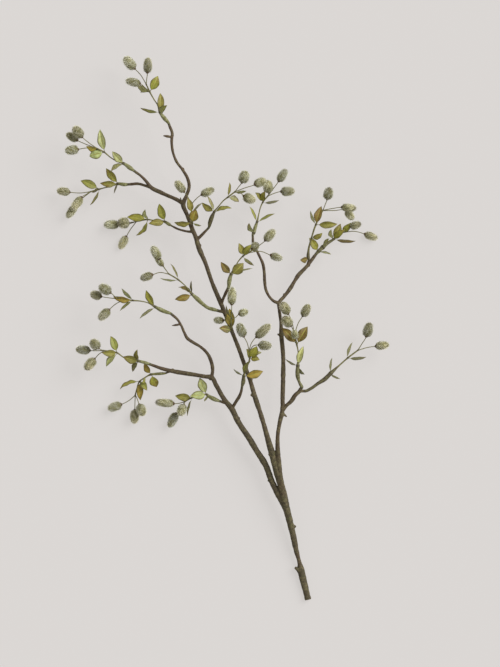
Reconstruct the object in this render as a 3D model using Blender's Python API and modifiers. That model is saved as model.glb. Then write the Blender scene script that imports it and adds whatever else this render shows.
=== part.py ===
# Willow twig in catkin, cut and laid down: a branch, and one node for each leafy spray.
#
# The plan is traced from a photograph of 500 by 667 pixels. A place in the plan is written as
# a pixel of it, x to the right and y down; heights, radii and gaps are in metres. X runs to
# the photograph's right, Y up the photograph and Z away from the surface the twig lies on.
import math
import random

import bmesh
import bpy
from mathutils import Matrix, Vector

# Size and place of the plan
TWIG_LENGTH = 1.092                 # cut end to the furthest catkin, along Y
PLAN_TOP = 56.0                     # pixel row of the furthest catkin
PLAN_BOTTOM = 602.0                 # pixel row of the cut end
PLAN_CENTRE = (222.9, 329.0)        # pixel that lies over the origin
METRES_PER_PIXEL = TWIG_LENGTH / (PLAN_BOTTOM - PLAN_TOP)

# Wood
LIMB_RESOLUTION = 2                 # eight sides on the three long limbs
SIDE_LIMB_RESOLUTION = 1            # six sides on the rest
SPRAY_GAP = 0.0003                  # between a limb's end and the shoot that grows on from it
STRAIGHT_START = 0.004              # a shoot leaves its limb in line for this long
BUD_SIDES = 6
BUD_SPACING = 4                     # a bud scar at every fourth point of a long limb
BUD_HEIGHT = 0.0016                 # how far a bud scar stands out of the bark
BUD_LENGTH = 0.0042                 # how far its tip lies up the limb
BUD_RADIUS = 0.0026

# Leaves
LEAF_LENGTH = 0.036                 # stalk and blade, from the shoot to the tip
LEAF_TRUE_WIDTH = 6.0               # pixels; a blade that looks narrower is seen edge on
LEAF_THICKNESS = 0.0008
LEAF_STALK_HALF_WIDTH = 0.0006
LEAF_OUTLINE = ((0.0, 0.05), (0.18, 0.09), (0.45, 1.0), (0.75, 0.78), (1.0, 0.05))
NARROW_LEAF = 3.0                   # pixels; a leaf that looks no wider than this has fewer faces
NARROW_OUTLINE = ((0.0, 0.05), (0.18, 0.09), (0.58, 1.0), (1.0, 0.05))
LEAF_FOLD = 0.24                    # rise of the blade's edges over its rib, to its half width
LEAF_BOW = 0.10                     # height of the blade's arch, to its length
NARROW_BOW = 0.03                   # and of a leaf seen edge on, which looks straight
LEAF_WAVE = 0.0006                  # how far the edge wanders up and down
LEAF_UNEVEN = 0.08                  # how much wider or narrower a blade is than its outline
LEAF_TILT = math.radians(12)        # a blade seen from its face is still turned this far

# Catkins
CATKIN_LENGTH = 0.028
CATKIN_SEGMENTS = 8
CATKIN_RINGS = 4
CATKIN_EGG = 0.05                   # how much fuller a catkin is towards its stalk
CATKIN_RELIEF = 0.07                # scales and the hollows between them, to its radius
CATKIN_STALK_RADIUS = 0.0009
CATKIN_STALK_SUNK = 0.004           # length of stalk inside the catkin
CATKIN_SLOPE = 0.5                  # share of the unseen length that shows as rise or fall
STALK_SPACING = 0.0008              # leaves and stalks of one node start this far apart
FLAT_ANGLE = math.radians(0.4)      # faces this near to one plane become one
SHARP_ANGLE = math.radians(40)      # edges sharper than this stay crisp
SEED = 11

# Colours
BARK_COLOUR = (0.060, 0.045, 0.028)
SPRAY_COLOUR = (0.20, 0.22, 0.08)
SPRAY_SHADES = (0.75, 1.1)          # each spray is a little darker or lighter

# Limbs: each point is (x pixel, y pixel, height, radius), from the root outwards
LIMBS = {
    "leader": (
        (308.4, 601.0, 0.0061, 0.0065), (306.2, 592.0, 0.0062, 0.0066), (301.6, 573.0, 0.0085, 0.0072),
        (300.2, 566.0, 0.0100, 0.0050), (296.1, 550.0, 0.0130, 0.0055), (293.9, 539.0, 0.0160, 0.0060),
        (291.4, 528.0, 0.0190, 0.0063), (286.8, 510.0, 0.0250, 0.0073), (280.2, 482.0, 0.0340, 0.0074),
        (275.8, 468.0, 0.0390, 0.0067), (272.4, 455.0, 0.0430, 0.0065), (268.4, 441.0, 0.0480, 0.0056),
        (262.5, 420.0, 0.0550, 0.0044), (254.4, 395.0, 0.0620, 0.0050), (250.3, 381.0, 0.0650, 0.0042),
        (244.6, 365.0, 0.0680, 0.0041), (238.6, 348.0, 0.0700, 0.0042), (233.4, 335.0, 0.0710, 0.0041),
        (227.6, 320.0, 0.0720, 0.0039), (221.6, 305.0, 0.0715, 0.0046), (212.5, 283.5, 0.0690, 0.0040),
        (205.0, 262.0, 0.0660, 0.0043), (198.6, 247.0, 0.0630, 0.0050), (196.4, 239.0, 0.0610, 0.0046),
        (191.5, 227.0, 0.0580, 0.0044), (187.2, 215.0, 0.0550, 0.0040), (183.2, 204.0, 0.0525, 0.0049),
        (186.4, 196.0, 0.0535, 0.0034), (189.2, 186.0, 0.0560, 0.0034), (187.9, 179.3, 0.0585, 0.0032),
        (183.0, 170.5, 0.0620, 0.0028), (176.5, 161.6, 0.0650, 0.0026), (173.2, 153.0, 0.0670, 0.0026),
        (171.8, 141.0, 0.0680, 0.0029), (172.4, 134.0, 0.0680, 0.0030), (169.6, 126.0, 0.0675, 0.0027)),
    "left_limb": (
        (287.0, 511.0, 0.0250, 0.0058), (280.5, 499.0, 0.0265, 0.0062), (271.6, 481.0, 0.0280, 0.0061),
        (266.0, 466.0, 0.0300, 0.0064), (256.2, 450.2, 0.0320, 0.0058), (250.4, 440.4, 0.0335, 0.0060),
        (237.4, 420.4, 0.0360, 0.0055), (231.8, 409.0, 0.0370, 0.0057), (224.6, 400.0, 0.0380, 0.0047),
        (216.0, 385.0, 0.0385, 0.0044), (211.6, 377.5, 0.0385, 0.0047), (205.4, 376.6, 0.0380, 0.0041),
        (191.4, 374.3, 0.0370, 0.0043), (183.6, 373.1, 0.0370, 0.0045), (173.4, 371.4, 0.0370, 0.0041),
        (161.8, 368.6, 0.0375, 0.0034), (150.9, 364.7, 0.0380, 0.0029)),
    "right_limb": (
        (283.2, 493.0, 0.0330, 0.0046), (280.2, 475.0, 0.0390, 0.0050), (278.4, 459.0, 0.0430, 0.0050),
        (277.6, 447.0, 0.0470, 0.0047),
        (277.8, 435.0, 0.0500, 0.0040), (280.0, 421.0, 0.0530, 0.0041), (282.3, 411.0, 0.0540, 0.0046),
        (282.6, 398.0, 0.0540, 0.0045), (283.1, 378.0, 0.0530, 0.0046), (283.0, 353.0, 0.0510, 0.0042),
        (281.4, 336.0, 0.0490, 0.0045), (280.8, 321.0, 0.0470, 0.0034), (279.3, 310.0, 0.0450, 0.0032),
        (279.0, 303.0, 0.0440, 0.0036), (284.6, 296.0, 0.0400, 0.0034), (290.6, 287.9, 0.0370, 0.0041),
        (294.1, 282.0, 0.0350, 0.0036), (297.8, 276.0, 0.0330, 0.0042), (307.5, 265.5, 0.0290, 0.0035),
        (312.0, 259.5, 0.0270, 0.0033), (315.5, 254.8, 0.0250, 0.0030)),
    "upper_left_limb": (
        (211.6, 377.5, 0.0385, 0.0036), (212.6, 370.0, 0.0405, 0.0035), (211.0, 361.0, 0.0440, 0.0036),
        (207.0, 353.0, 0.0490, 0.0031), (200.3, 346.7, 0.0530, 0.0028), (193.0, 342.3, 0.0560, 0.0031),
        (187.6, 338.5, 0.0590, 0.0033), (184.4, 332.7, 0.0620, 0.0027), (180.8, 324.5, 0.0650, 0.0024),
        (177.2, 319.0, 0.0670, 0.0025), (172.5, 315.0, 0.0680, 0.0027)),
    "winding_limb": (
        (279.0, 303.0, 0.0440, 0.0032), (274.5, 301.5, 0.0460, 0.0032), (270.0, 297.5, 0.0490, 0.0027),
        (266.0, 290.0, 0.0520, 0.0029), (264.6, 281.0, 0.0540, 0.0031), (264.2, 272.0, 0.0540, 0.0030),
        (262.9, 264.0, 0.0530, 0.0030), (259.8, 257.0, 0.0520, 0.0027), (256.0, 249.0, 0.0500, 0.0024),
        (253.0, 242.0, 0.0490, 0.0026), (252.8, 237.0, 0.0485, 0.0024)),
    "crown_left_limb": (
        (183.2, 204.0, 0.0525, 0.0038), (177.5, 200.0, 0.0510, 0.0038), (169.0, 196.2, 0.0490, 0.0036),
        (160.0, 192.0, 0.0470, 0.0042), (151.3, 187.6, 0.0450, 0.0040), (145.6, 180.6, 0.0495, 0.0031),
        (141.0, 176.0, 0.0530, 0.0024), (135.3, 171.8, 0.0570, 0.0027)),
    "far_left_twig": (
        (151.3, 187.6, 0.0450, 0.0032), (145.0, 185.5, 0.0420, 0.0028), (138.5, 183.7, 0.0390, 0.0029),
        (129.7, 184.1, 0.0350, 0.0027)),
    "right_fork": (
        (282.3, 411.0, 0.0540, 0.0038), (286.0, 406.0, 0.0560, 0.0037), (291.5, 400.8, 0.0580, 0.0041),
        (295.2, 395.1, 0.0600, 0.0042), (299.4, 391.4, 0.0610, 0.0038)),
    "inner_twig": (
        (231.8, 409.0, 0.0370, 0.0036), (235.2, 403.0, 0.0430, 0.0033), (239.2, 396.6, 0.0500, 0.0032),
        (241.3, 391.0, 0.0580, 0.0027), (241.8, 388.0, 0.0630, 0.0026)),
    "crown_right_twig": (
        (196.8, 240.0, 0.0610, 0.0034), (203.0, 234.0, 0.0650, 0.0029), (207.3, 229.5, 0.0680, 0.0024)),
    "left_high_twig": (
        (193.5, 232.0, 0.0590, 0.0028), (188.0, 231.6, 0.0560, 0.0022), (182.0, 230.3, 0.0520, 0.0021),
        (177.0, 228.6, 0.0480, 0.0023), (172.8, 226.4, 0.0450, 0.0018)),
    "mid_right_twig": (
        (221.6, 305.0, 0.0715, 0.0026), (222.8, 300.0, 0.0750, 0.0028), (225.0, 295.0, 0.0800, 0.0029),
        (227.6, 289.5, 0.0850, 0.0030)),
    "mid_left_spur": ((224.4, 312.5, 0.0718, 0.0026), (219.0, 311.0, 0.0740, 0.0030)),
    "front_spur": ((233.4, 335.0, 0.0710, 0.0026), (232.6, 332.6, 0.0830, 0.0020)),
    "crown_inner_spur": ((191.5, 227.0, 0.0580, 0.0026), (192.3, 224.6, 0.0685, 0.0018)),
    "left_fork_spur": ((171.5, 370.7, 0.0370, 0.0026), (167.6, 372.4, 0.0345, 0.0019)),
    "left_low_spur": ((227.2, 403.6, 0.0375, 0.0028), (221.5, 401.8, 0.0370, 0.0026)),
    "right_upright_spur": ((299.0, 391.0, 0.0610, 0.0034), (300.8, 388.4, 0.0635, 0.0032)),
    "right_low_spur": ((299.0, 391.0, 0.0610, 0.0034), (303.4, 391.0, 0.0600, 0.0030)),
    "right_high_spur": ((307.5, 265.5, 0.0290, 0.0026), (308.3, 261.5, 0.0335, 0.0020)),
}
LONG_LIMBS = ("leader", "left_limb", "right_limb")

# Snags and dormant buds: (root x, y, height), (tip x, y, height), radius at the root
SNAGS = (
    ((302.0, 573.5, 0.0090), (294.2, 567.4, 0.0130), 0.0058),
    ((282.6, 413.0, 0.0540), (287.2, 417.4, 0.0520), 0.0034),
    ((281.4, 336.0, 0.0490), (276.8, 333.8, 0.0510), 0.0034),
    ((255.0, 396.4, 0.0620), (250.0, 394.2, 0.0640), 0.0046),
    ((292.0, 529.0, 0.0190), (296.6, 526.2, 0.0220), 0.0040),
    ((171.9, 137.4, 0.0680), (161.8, 135.8, 0.0710), 0.0034),
    ((180.8, 324.4, 0.0650), (170.6, 325.8, 0.0670), 0.0028),
    ((181.4, 203.0, 0.0530), (180.2, 196.8, 0.0590), 0.0026),
)

# Sprays. limb: what the shoot grows on from. shoot: (x, y, height, radius) after the limb's end.
# leaves: (shoot point, tip x, tip y, width seen in pixels, rise of the tip as a share of its reach).
# catkins: (shoot point, bend x, y, base x, y, tip x, y, width in pixels, height of the base).
SPRAYS = {
    "spray_crown": {
        "limb": "leader",
        "shoot": (
            (164.7, 118.8, 0.066, 0.0042), (160.0, 112.5, 0.065, 0.0024), (157.8, 105.5, 0.066, 0.0013),
            (154.3, 100.0, 0.067, 0.0012), (149.8, 92.0, 0.069, 0.0015), (146.2, 84.3, 0.071, 0.0013)),
        "leaves": (
            (1, 140.3, 108.5, 2.8, -0.3), (1, 160.5, 93.5, 6.5, 0.4), (1, 166.8, 106.5, 5.5, 1.0),
            (4, 158.2, 76.5, 8.0, 0.3), (4, 137.2, 84.5, 5.0, -0.6), (4, 140.8, 92.3, 3.5, -0.8)),
        "catkins": (
            (5, 147.0, 79.0, 147.7, 73.5, 148.3, 57.8, 9.0, 0.075),
            (5, 140.5, 75.0, 135.0, 69.2, 124.0, 57.1, 10.4, 0.066),
            (4, 145.0, 88.0, 140.5, 84.5, 125.7, 81.0, 8.8, 0.082))},
    "spray_crown_left": {
        "limb": "crown_left_limb",
        "shoot": (
            (131.0, 168.7, 0.059, 0.0042), (123.6, 163.6, 0.062, 0.0026), (117.0, 161.4, 0.064, 0.0012),
            (110.5, 157.5, 0.066, 0.0012), (104.4, 152.4, 0.068, 0.0015), (97.0, 148.6, 0.070, 0.0013)),
        "leaves": (
            (1, 112.5, 152.0, 7.0, 0.6), (1, 110.3, 171.5, 4.0, -0.7), (4, 100.0, 129.8, 7.2, 0.5),
            (4, 89.5, 156.3, 9.5, -0.4), (5, 87.3, 147.2, 4.5, 0.9)),
        "catkins": (
            (5, 89.0, 143.0, 82.6, 137.6, 73.5, 127.0, 10.4, 0.072),
            (5, 85.0, 144.0, 77.5, 140.5, 66.3, 133.3, 8.4, 0.056),
            (5, 86.0, 148.3, 78.6, 149.5, 65.0, 151.0, 9.8, 0.064))},
    "spray_far_left": {
        "limb": "far_left_twig",
        "shoot": (
            (124.5, 184.3, 0.034, 0.0037), (117.3, 183.6, 0.032, 0.0025), (110.0, 186.3, 0.030, 0.0012),
            (103.5, 187.7, 0.029, 0.0012), (98.6, 189.0, 0.028, 0.0015), (89.5, 191.6, 0.026, 0.0013)),
        "leaves": (
            (1, 100.0, 183.2, 6.0, 0.8), (1, 113.3, 193.3, 2.0, -0.5), (1, 105.8, 168.2, 6.5, 0.3),
            (4, 80.5, 180.3, 7.5, 0.4), (4, 90.0, 205.0, 2.2, -0.2), (4, 91.5, 192.0, 3.0, -0.35)),
        "catkins": (
            (5, 80.0, 192.7, 69.5, 192.0, 56.2, 190.3, 8.6, 0.028),
            (5, 86.0, 194.0, 81.5, 197.0, 71.5, 210.0, 8.8, 0.034),
            (5, 82.0, 198.0, 75.0, 205.5, 66.3, 217.7, 8.5, 0.018))},
    "spray_crown_inner": {
        "limb": "crown_inner_spur",
        "shoot": (
            (192.4, 222.6, 0.0735, 0.0018), (191.8, 213.0, 0.079, 0.0014), (191.0, 205.0, 0.082, 0.0013)),
        "leaves": (
            (0, 174.5, 223.0, 5.0, -0.25), (0, 201.5, 226.0, 1.8, 0.0), (0, 196.0, 209.5, 8.5, 0.4),
            (1, 188.0, 198.5, 6.0, 0.5), (1, 202.3, 203.2, 2.0, 0.1)),
        "catkins": (
            (2, 196.0, 199.6, 201.5, 195.3, 214.5, 189.2, 8.6, 0.0886),
            (2, 188.5, 198.0, 184.5, 192.5, 175.6, 181.3, 8.6, 0.090))},
    "spray_crown_right": {
        "limb": "crown_right_twig",
        "shoot": (
            (210.0, 223.0, 0.072, 0.0042), (212.3, 216.5, 0.075, 0.0040), (214.6, 211.8, 0.077, 0.0021),
            (219.0, 206.3, 0.079, 0.0012), (223.5, 201.0, 0.081, 0.0012), (228.2, 197.4, 0.083, 0.0015),
            (235.5, 191.8, 0.085, 0.0014)),
        "leaves": (
            (2, 202.0, 203.3, 5.5, 0.4), (2, 207.5, 196.0, 2.8, -0.3), (2, 231.5, 208.0, 3.8, 0.2),
            (5, 229.8, 183.0, 2.5, 0.4), (5, 239.3, 201.6, 5.0, -0.5), (6, 246.5, 191.5, 2.5, -0.3)),
        "catkins": (
            (6, 238.5, 187.5, 241.8, 183.3, 246.6, 171.3, 10.8, 0.090),
            (6, 245.0, 188.3, 254.5, 185.3, 266.3, 180.0, 9.2, 0.084),
            (6, 241.5, 194.0, 243.5, 196.4, 255.6, 201.6, 10.0, 0.076))},
    "spray_left_high": {
        "limb": "left_high_twig",
        "shoot": (
            (169.5, 224.6, 0.043, 0.0032), (165.0, 221.8, 0.040, 0.0023), (158.0, 220.3, 0.034, 0.0012),
            (152.5, 220.0, 0.030, 0.0012), (147.0, 219.3, 0.027, 0.0015), (140.0, 220.5, 0.023, 0.0012),
            (135.0, 221.5, 0.020, 0.0013)),
        "leaves": (
            (1, 159.0, 203.8, 7.5, 0.3), (1, 149.0, 223.5, 7.0, 0.8), (4, 144.8, 210.0, 3.8, 1.0),
            (4, 127.0, 216.7, 7.5, 0.6), (4, 136.3, 235.6, 3.5, -0.2)),
        "catkins": (
            (6, 131.0, 222.0, 128.5, 222.5, 117.6, 223.0, 11.5, 0.024),
            (6, 126.0, 224.0, 118.5, 224.0, 103.0, 224.5, 9.4, 0.0145),
            (6, 129.5, 230.0, 126.0, 236.0, 119.0, 249.0, 8.5, 0.00908))},
    "spray_mid_left": {
        "limb": "mid_left_spur",
        "shoot": (
            (213.5, 309.5, 0.077, 0.0038), (208.0, 307.8, 0.080, 0.0034), (202.8, 304.0, 0.083, 0.0037),
            (198.0, 299.5, 0.086, 0.0045), (192.0, 294.0, 0.089, 0.0026), (186.5, 287.0, 0.092, 0.0012),
            (178.6, 280.0, 0.095, 0.0014), (168.7, 273.9, 0.098, 0.0013)),
        "leaves": (
            (4, 191.5, 281.0, 2.0, 0.2), (4, 178.8, 287.0, 3.5, -0.5), (4, 175.3, 299.6, 6.5, 0.2),
            (6, 171.0, 263.8, 1.8, 0.1), (6, 160.4, 278.6, 1.8, -0.4)),
        "catkins": (
            (7, 164.5, 267.5, 160.0, 259.5, 152.2, 246.3, 9.0, 0.102),
            (7, 166.0, 270.0, 163.0, 266.0, 156.0, 256.5, 6.6, 0.092),
            (7, 160.0, 272.8, 153.0, 275.0, 140.5, 279.0, 8.6, 0.096))},
    "spray_mid_right": {
        "limb": "mid_right_twig",
        "shoot": (
            (229.4, 281.0, 0.091, 0.0045), (231.3, 274.4, 0.095, 0.0028), (234.5, 268.5, 0.097, 0.0012),
            (238.5, 261.5, 0.099, 0.0012), (243.6, 256.0, 0.102, 0.0015), (250.0, 252.5, 0.103, 0.0013)),
        "leaves": (
            (1, 221.0, 262.5, 6.5, 0.3), (1, 243.5, 263.6, 9.5, 0.5), (1, 252.5, 268.5, 1.9, -0.4),
            (4, 239.0, 243.8, 6.0, 0.4), (4, 251.0, 245.3, 6.0, 0.6), (4, 254.0, 266.0, 3.0, -0.5)),
        "catkins": (
            (5, 259.0, 246.0, 265.0, 241.2, 274.6, 230.0, 9.2, 0.108),
            (5, 261.0, 251.8, 270.5, 255.5, 282.6, 259.5, 8.0, 0.100),
            (5, 251.0, 250.8, 252.0, 250.0, 257.8, 243.5, 8.6, 0.096))},
    "spray_front": {
        "limb": "front_spur",
        "shoot": (
            (232.2, 330.0, 0.089, 0.0022), (231.6, 325.0, 0.094, 0.0016), (231.4, 318.0, 0.099, 0.0014),
            (231.6, 312.0, 0.103, 0.0013)),
        "leaves": ((0, 229.5, 308.8, 9.0, 0.4), (0, 219.6, 328.0, 7.0, 0.4), (2, 226.0, 305.5, 2.0, 0.3)),
        "catkins": (
            (3, 231.8, 308.0, 231.8, 304.8, 232.3, 286.8, 9.2, 0.108),
            (2, 235.5, 317.5, 239.0, 314.2, 248.0, 310.8, 7.8, 0.092),
            (1, 227.0, 321.0, 223.5, 320.6, 213.8, 320.0, 7.4, 0.086))},
    "spray_inner": {
        "limb": "inner_twig",
        "shoot": (
            (243.2, 382.0, 0.072, 0.0042), (243.9, 375.6, 0.080, 0.0028), (245.6, 370.0, 0.085, 0.0013),
            (248.0, 364.0, 0.088, 0.0013), (249.8, 357.5, 0.090, 0.0016), (249.0, 350.0, 0.091, 0.0013)),
        "leaves": (
            (1, 233.5, 369.0, 1.8, 0.2), (1, 263.0, 371.3, 7.5, 0.3), (1, 250.0, 360.5, 4.2, 0.4), (4, 256.8, 346.5, 8.5, 0.5),
            (4, 259.5, 359.5, 5.5, 0.2), (4, 246.5, 349.0, 3.0, 0.8), (4, 261.5, 352.0, 4.5, -0.7)),
        "catkins": (
            (5, 247.0, 342.5, 244.0, 336.7, 238.3, 323.0, 9.8, 0.096),
            (5, 251.5, 343.0, 256.0, 337.2, 270.6, 324.3, 9.6, 0.087),
            (5, 254.0, 345.5, 258.5, 345.0, 271.8, 346.0, 9.6, 0.101))},
    "spray_winding": {
        "limb": "winding_limb",
        "shoot": (
            (253.6, 233.0, 0.048, 0.0031), (255.2, 227.5, 0.0475, 0.0035), (257.1, 221.7, 0.047, 0.0021),
            (258.7, 214.5, 0.047, 0.0012), (260.6, 207.0, 0.0475, 0.0012), (263.0, 201.8, 0.048, 0.0015),
            (268.4, 195.4, 0.049, 0.0014)),
        "leaves": (
            (0, 248.8, 223.5, 4.0, 0.5), (2, 249.8, 206.5, 2.5, 0.1), (2, 274.8, 213.4, 2.6, -0.2),
            (5, 255.5, 192.6, 4.5, 0.3), (5, 264.8, 191.5, 5.0, 0.6), (5, 279.2, 200.3, 2.4, -0.3)),
        "catkins": (
            (6, 273.5, 188.5, 278.6, 181.4, 286.6, 169.0, 9.0, 0.054),
            (6, 275.0, 193.0, 281.0, 191.5, 295.0, 191.0, 9.8, 0.045),
            (6, 268.7, 194.2, 268.8, 193.0, 267.2, 180.0, 10.4, 0.057))},
    "spray_outer_left": {
        "limb": "upper_left_limb",
        "shoot": (
            (167.0, 312.3, 0.069, 0.0036), (160.5, 309.6, 0.069, 0.0042), (155.2, 306.8, 0.069, 0.0025),
            (148.5, 303.0, 0.070, 0.0012), (141.0, 301.2, 0.070, 0.0012), (132.8, 300.5, 0.070, 0.0016),
            (124.0, 299.5, 0.071, 0.0013)),
        "leaves": (
            (2, 146.0, 290.4, 5.5, 0.5), (2, 139.8, 318.4, 2.8, -0.2), (5, 121.8, 288.6, 3.0, 0.2),
            (5, 120.0, 310.8, 2.6, -0.3), (5, 113.4, 297.0, 5.5, 0.4)),
        "catkins": (
            (6, 116.5, 297.5, 111.0, 292.8, 99.3, 285.5, 10.6, 0.079),
            (6, 113.0, 298.4, 101.5, 296.6, 90.3, 293.5, 9.4, 0.065),
            (6, 116.0, 304.0, 109.5, 309.6, 98.8, 319.8, 9.4, 0.064))},
    "spray_left_arm": {
        "limb": "left_limb",
        "shoot": (
            (145.0, 362.7, 0.039, 0.0033), (138.0, 361.0, 0.040, 0.0024), (130.5, 360.0, 0.042, 0.0012),
            (123.5, 357.3, 0.044, 0.0012), (116.6, 352.6, 0.046, 0.0015), (110.0, 351.2, 0.048, 0.0012),
            (103.0, 350.5, 0.050, 0.0013)),
        "leaves": (
            (1, 137.0, 349.8, 4.0, 0.7), (1, 132.0, 371.8, 4.4, -0.5), (1, 123.2, 357.0, 7.6, 0.7),
            (4, 110.8, 336.2, 7.0, 0.3), (4, 102.4, 352.8, 7.0, 0.8), (4, 105.8, 366.3, 5.0, -0.3)),
        "catkins": (
            (6, 96.0, 350.8, 90.2, 350.6, 75.5, 349.0, 9.2, 0.052),
            (6, 100.5, 349.5, 98.8, 348.3, 91.2, 340.0, 10.4, 0.062),
            (6, 98.0, 355.0, 94.8, 358.8, 84.8, 369.8, 10.0, 0.044))},
    "spray_left_fork": {
        "limb": "left_fork_spur",
        "shoot": (
            (162.0, 373.6, 0.032, 0.0028), (156.0, 374.0, 0.030, 0.0027), (150.6, 374.6, 0.028, 0.0020),
            (144.5, 377.8, 0.025, 0.0012), (139.3, 381.6, 0.022, 0.0015), (136.5, 389.0, 0.019, 0.0012),
            (134.7, 396.0, 0.017, 0.0013)),
        "leaves": (
            (2, 144.0, 363.5, 5.5, -0.1), (2, 156.2, 387.3, 8.0, -0.4), (3, 142.3, 383.0, 3.0, 0.5),
            (4, 119.3, 388.8, 3.6, -0.1), (4, 146.8, 390.3, 6.0, 0.5), (4, 140.0, 400.3, 6.5, 0.4)),
        "catkins": (
            (6, 128.5, 400.8, 121.0, 404.6, 107.2, 409.4, 9.4, 0.015),
            (6, 134.6, 403.5, 134.4, 410.0, 134.0, 424.2, 9.4, 0.0145),
            (6, 137.5, 400.5, 138.8, 404.5, 143.6, 416.2, 10.2, 0.027))},
    "spray_left_low": {
        "limb": "left_low_spur",
        "shoot": (
            (214.5, 399.3, 0.0355, 0.0044), (209.5, 396.8, 0.034, 0.0036), (206.4, 394.6, 0.033, 0.0020),
            (199.0, 396.4, 0.031, 0.0012), (191.5, 398.0, 0.029, 0.0015), (184.0, 402.2, 0.027, 0.0013)),
        "leaves": (
            (2, 199.6, 378.0, 8.0, 0.3), (2, 190.3, 396.2, 8.3, 0.8), (4, 175.2, 396.0, 7.3, 0.6),
            (4, 187.0, 416.2, 2.0, -0.2), (2, 204.6, 401.6, 2.5, -0.3)),
        "catkins": (
            (5, 179.0, 403.4, 173.8, 403.8, 154.8, 402.2, 8.6, 0.026),
            (5, 184.3, 403.2, 184.0, 404.8, 179.3, 415.8, 9.8, 0.036),
            (5, 180.5, 408.5, 176.2, 413.3, 168.5, 428.0, 9.4, 0.016))},
    "spray_right_upright": {
        "limb": "right_upright_spur",
        "shoot": (
            (301.0, 385.5, 0.065, 0.0034), (299.0, 381.5, 0.066, 0.0028), (297.8, 377.0, 0.067, 0.0042),
            (297.4, 371.0, 0.068, 0.0042), (297.8, 365.5, 0.069, 0.0032), (298.4, 358.0, 0.070, 0.0016),
            (298.0, 351.0, 0.071, 0.0013), (296.6, 344.0, 0.072, 0.0017), (294.2, 334.0, 0.074, 0.0014)),
        "leaves": (
            (4, 285.3, 359.2, 2.0, -0.2), (4, 304.7, 374.8, 3.2, -0.3), (4, 303.0, 346.3, 6.0, 0.4),
            (7, 282.2, 328.0, 8.6, 0.3), (7, 307.3, 326.6, 8.6, 0.3)),
        "catkins": (
            (8, 299.0, 321.5, 302.5, 316.3, 309.3, 304.3, 9.2, 0.078),
            (8, 292.3, 328.5, 291.0, 326.0, 282.6, 316.6, 10.4, 0.083),
            (8, 291.5, 321.0, 288.3, 314.0, 281.3, 302.0, 10.0, 0.069),
            (7, 296.0, 340.0, 295.8, 338.5, 293.5, 330.0, 7.4, 0.084))},
    "spray_right_low": {
        "limb": "right_low_spur",
        "shoot": (
            (310.5, 388.7, 0.058, 0.0031), (318.3, 383.2, 0.056, 0.0034), (324.5, 379.3, 0.054, 0.0044),
            (330.8, 373.2, 0.052, 0.0038), (339.5, 365.2, 0.049, 0.0016), (347.7, 358.0, 0.046, 0.0016),
            (358.3, 350.0, 0.042, 0.0014)),
        "leaves": (
            (3, 331.9, 357.8, 2.0, 0.2), (3, 340.3, 379.2, 2.0, -0.3), (5, 352.2, 342.3, 2.4, 0.2),
            (5, 366.3, 357.2, 3.0, -0.2)),
        "catkins": (
            (6, 361.8, 344.0, 366.2, 336.8, 370.3, 322.3, 10.3, 0.046),
            (6, 367.0, 347.6, 375.5, 346.3, 389.6, 344.5, 8.6, 0.036))},
    "spray_right_high": {
        "limb": "right_high_spur",
        "shoot": (
            (308.4, 258.5, 0.036, 0.0028), (308.6, 250.0, 0.040, 0.0022), (311.5, 238.0, 0.046, 0.0016),
            (316.0, 224.3, 0.052, 0.0017), (320.0, 216.0, 0.054, 0.0012), (323.3, 209.6, 0.056, 0.0014)),
        "leaves": (
            (0, 300.4, 260.0, 5.5, 0.3), (2, 322.3, 233.3, 5.0, 0.3), (3, 321.3, 206.2, 7.0, 0.5),
            (3, 337.3, 224.2, 6.5, 0.3), (3, 310.3, 211.0, 2.5, 0.2)),
        "catkins": (
            (5, 325.0, 205.0, 327.0, 199.6, 329.6, 187.3, 10.0, 0.060),
            (5, 332.0, 208.6, 341.5, 207.4, 356.5, 208.3, 8.6, 0.055),
            (5, 334.0, 210.5, 346.3, 210.8, 353.8, 219.5, 8.2, 0.038))},
    "spray_far_right": {
        "limb": "right_limb",
        "shoot": (
            (318.8, 251.0, 0.0235, 0.0034), (323.0, 247.0, 0.022, 0.0040), (326.5, 243.8, 0.021, 0.0036),
            (334.0, 238.8, 0.018, 0.0022), (338.5, 234.5, 0.017, 0.0012), (343.0, 231.9, 0.016, 0.0014)),
        "leaves": (
            (0, 331.3, 254.2, 2.2, 0.3), (0, 309.6, 237.8, 7.0, 0.5), (1, 329.0, 238.6, 3.0, 0.8),
            (3, 356.0, 241.0, 3.0, 0.0), (3, 331.0, 229.6, 3.6, 0.6), (3, 340.8, 223.6, 7.0, 0.5),
            (3, 344.5, 229.5, 6.0, 0.9), (5, 351.0, 222.8, 6.0, 0.5)),
        "catkins": (
            (5, 347.0, 228.5, 350.5, 226.6, 361.3, 223.3, 8.2, 0.026),
            (5, 355.0, 231.0, 365.0, 233.6, 378.3, 238.3, 8.0, 0.00854))},
}


def clear_scene():
    for thing in list(bpy.data.objects):
        bpy.data.objects.remove(thing)


def at(x, y, height):
    right = (x - PLAN_CENTRE[0]) * METRES_PER_PIXEL
    up = (PLAN_CENTRE[1] - y) * METRES_PER_PIXEL
    return Vector((right, up, height))


def route(points):
    return [(at(x, y, height), radius) for x, y, height, radius in points]


def new_collection(name):
    home = bpy.data.collections.new(name)
    bpy.context.scene.collection.children.link(home)
    return home


def finish(name, colour, roughness):
    material = bpy.data.materials.new(name + "_finish")
    material.use_nodes = True
    surface = material.node_tree.nodes["Principled BSDF"]
    surface.inputs["Base Color"].default_value = (*colour, 1.0)
    surface.inputs["Roughness"].default_value = roughness
    surface.inputs["Metallic"].default_value = 0.0
    return material


# The object's mesh as its modifiers leave it, in place of the one it had
def apply_modifiers(piece):
    graph = bpy.context.evaluated_depsgraph_get()
    made = bpy.data.meshes.new_from_object(piece.evaluated_get(graph))
    piece.modifiers.clear()
    piece.data = made


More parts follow.
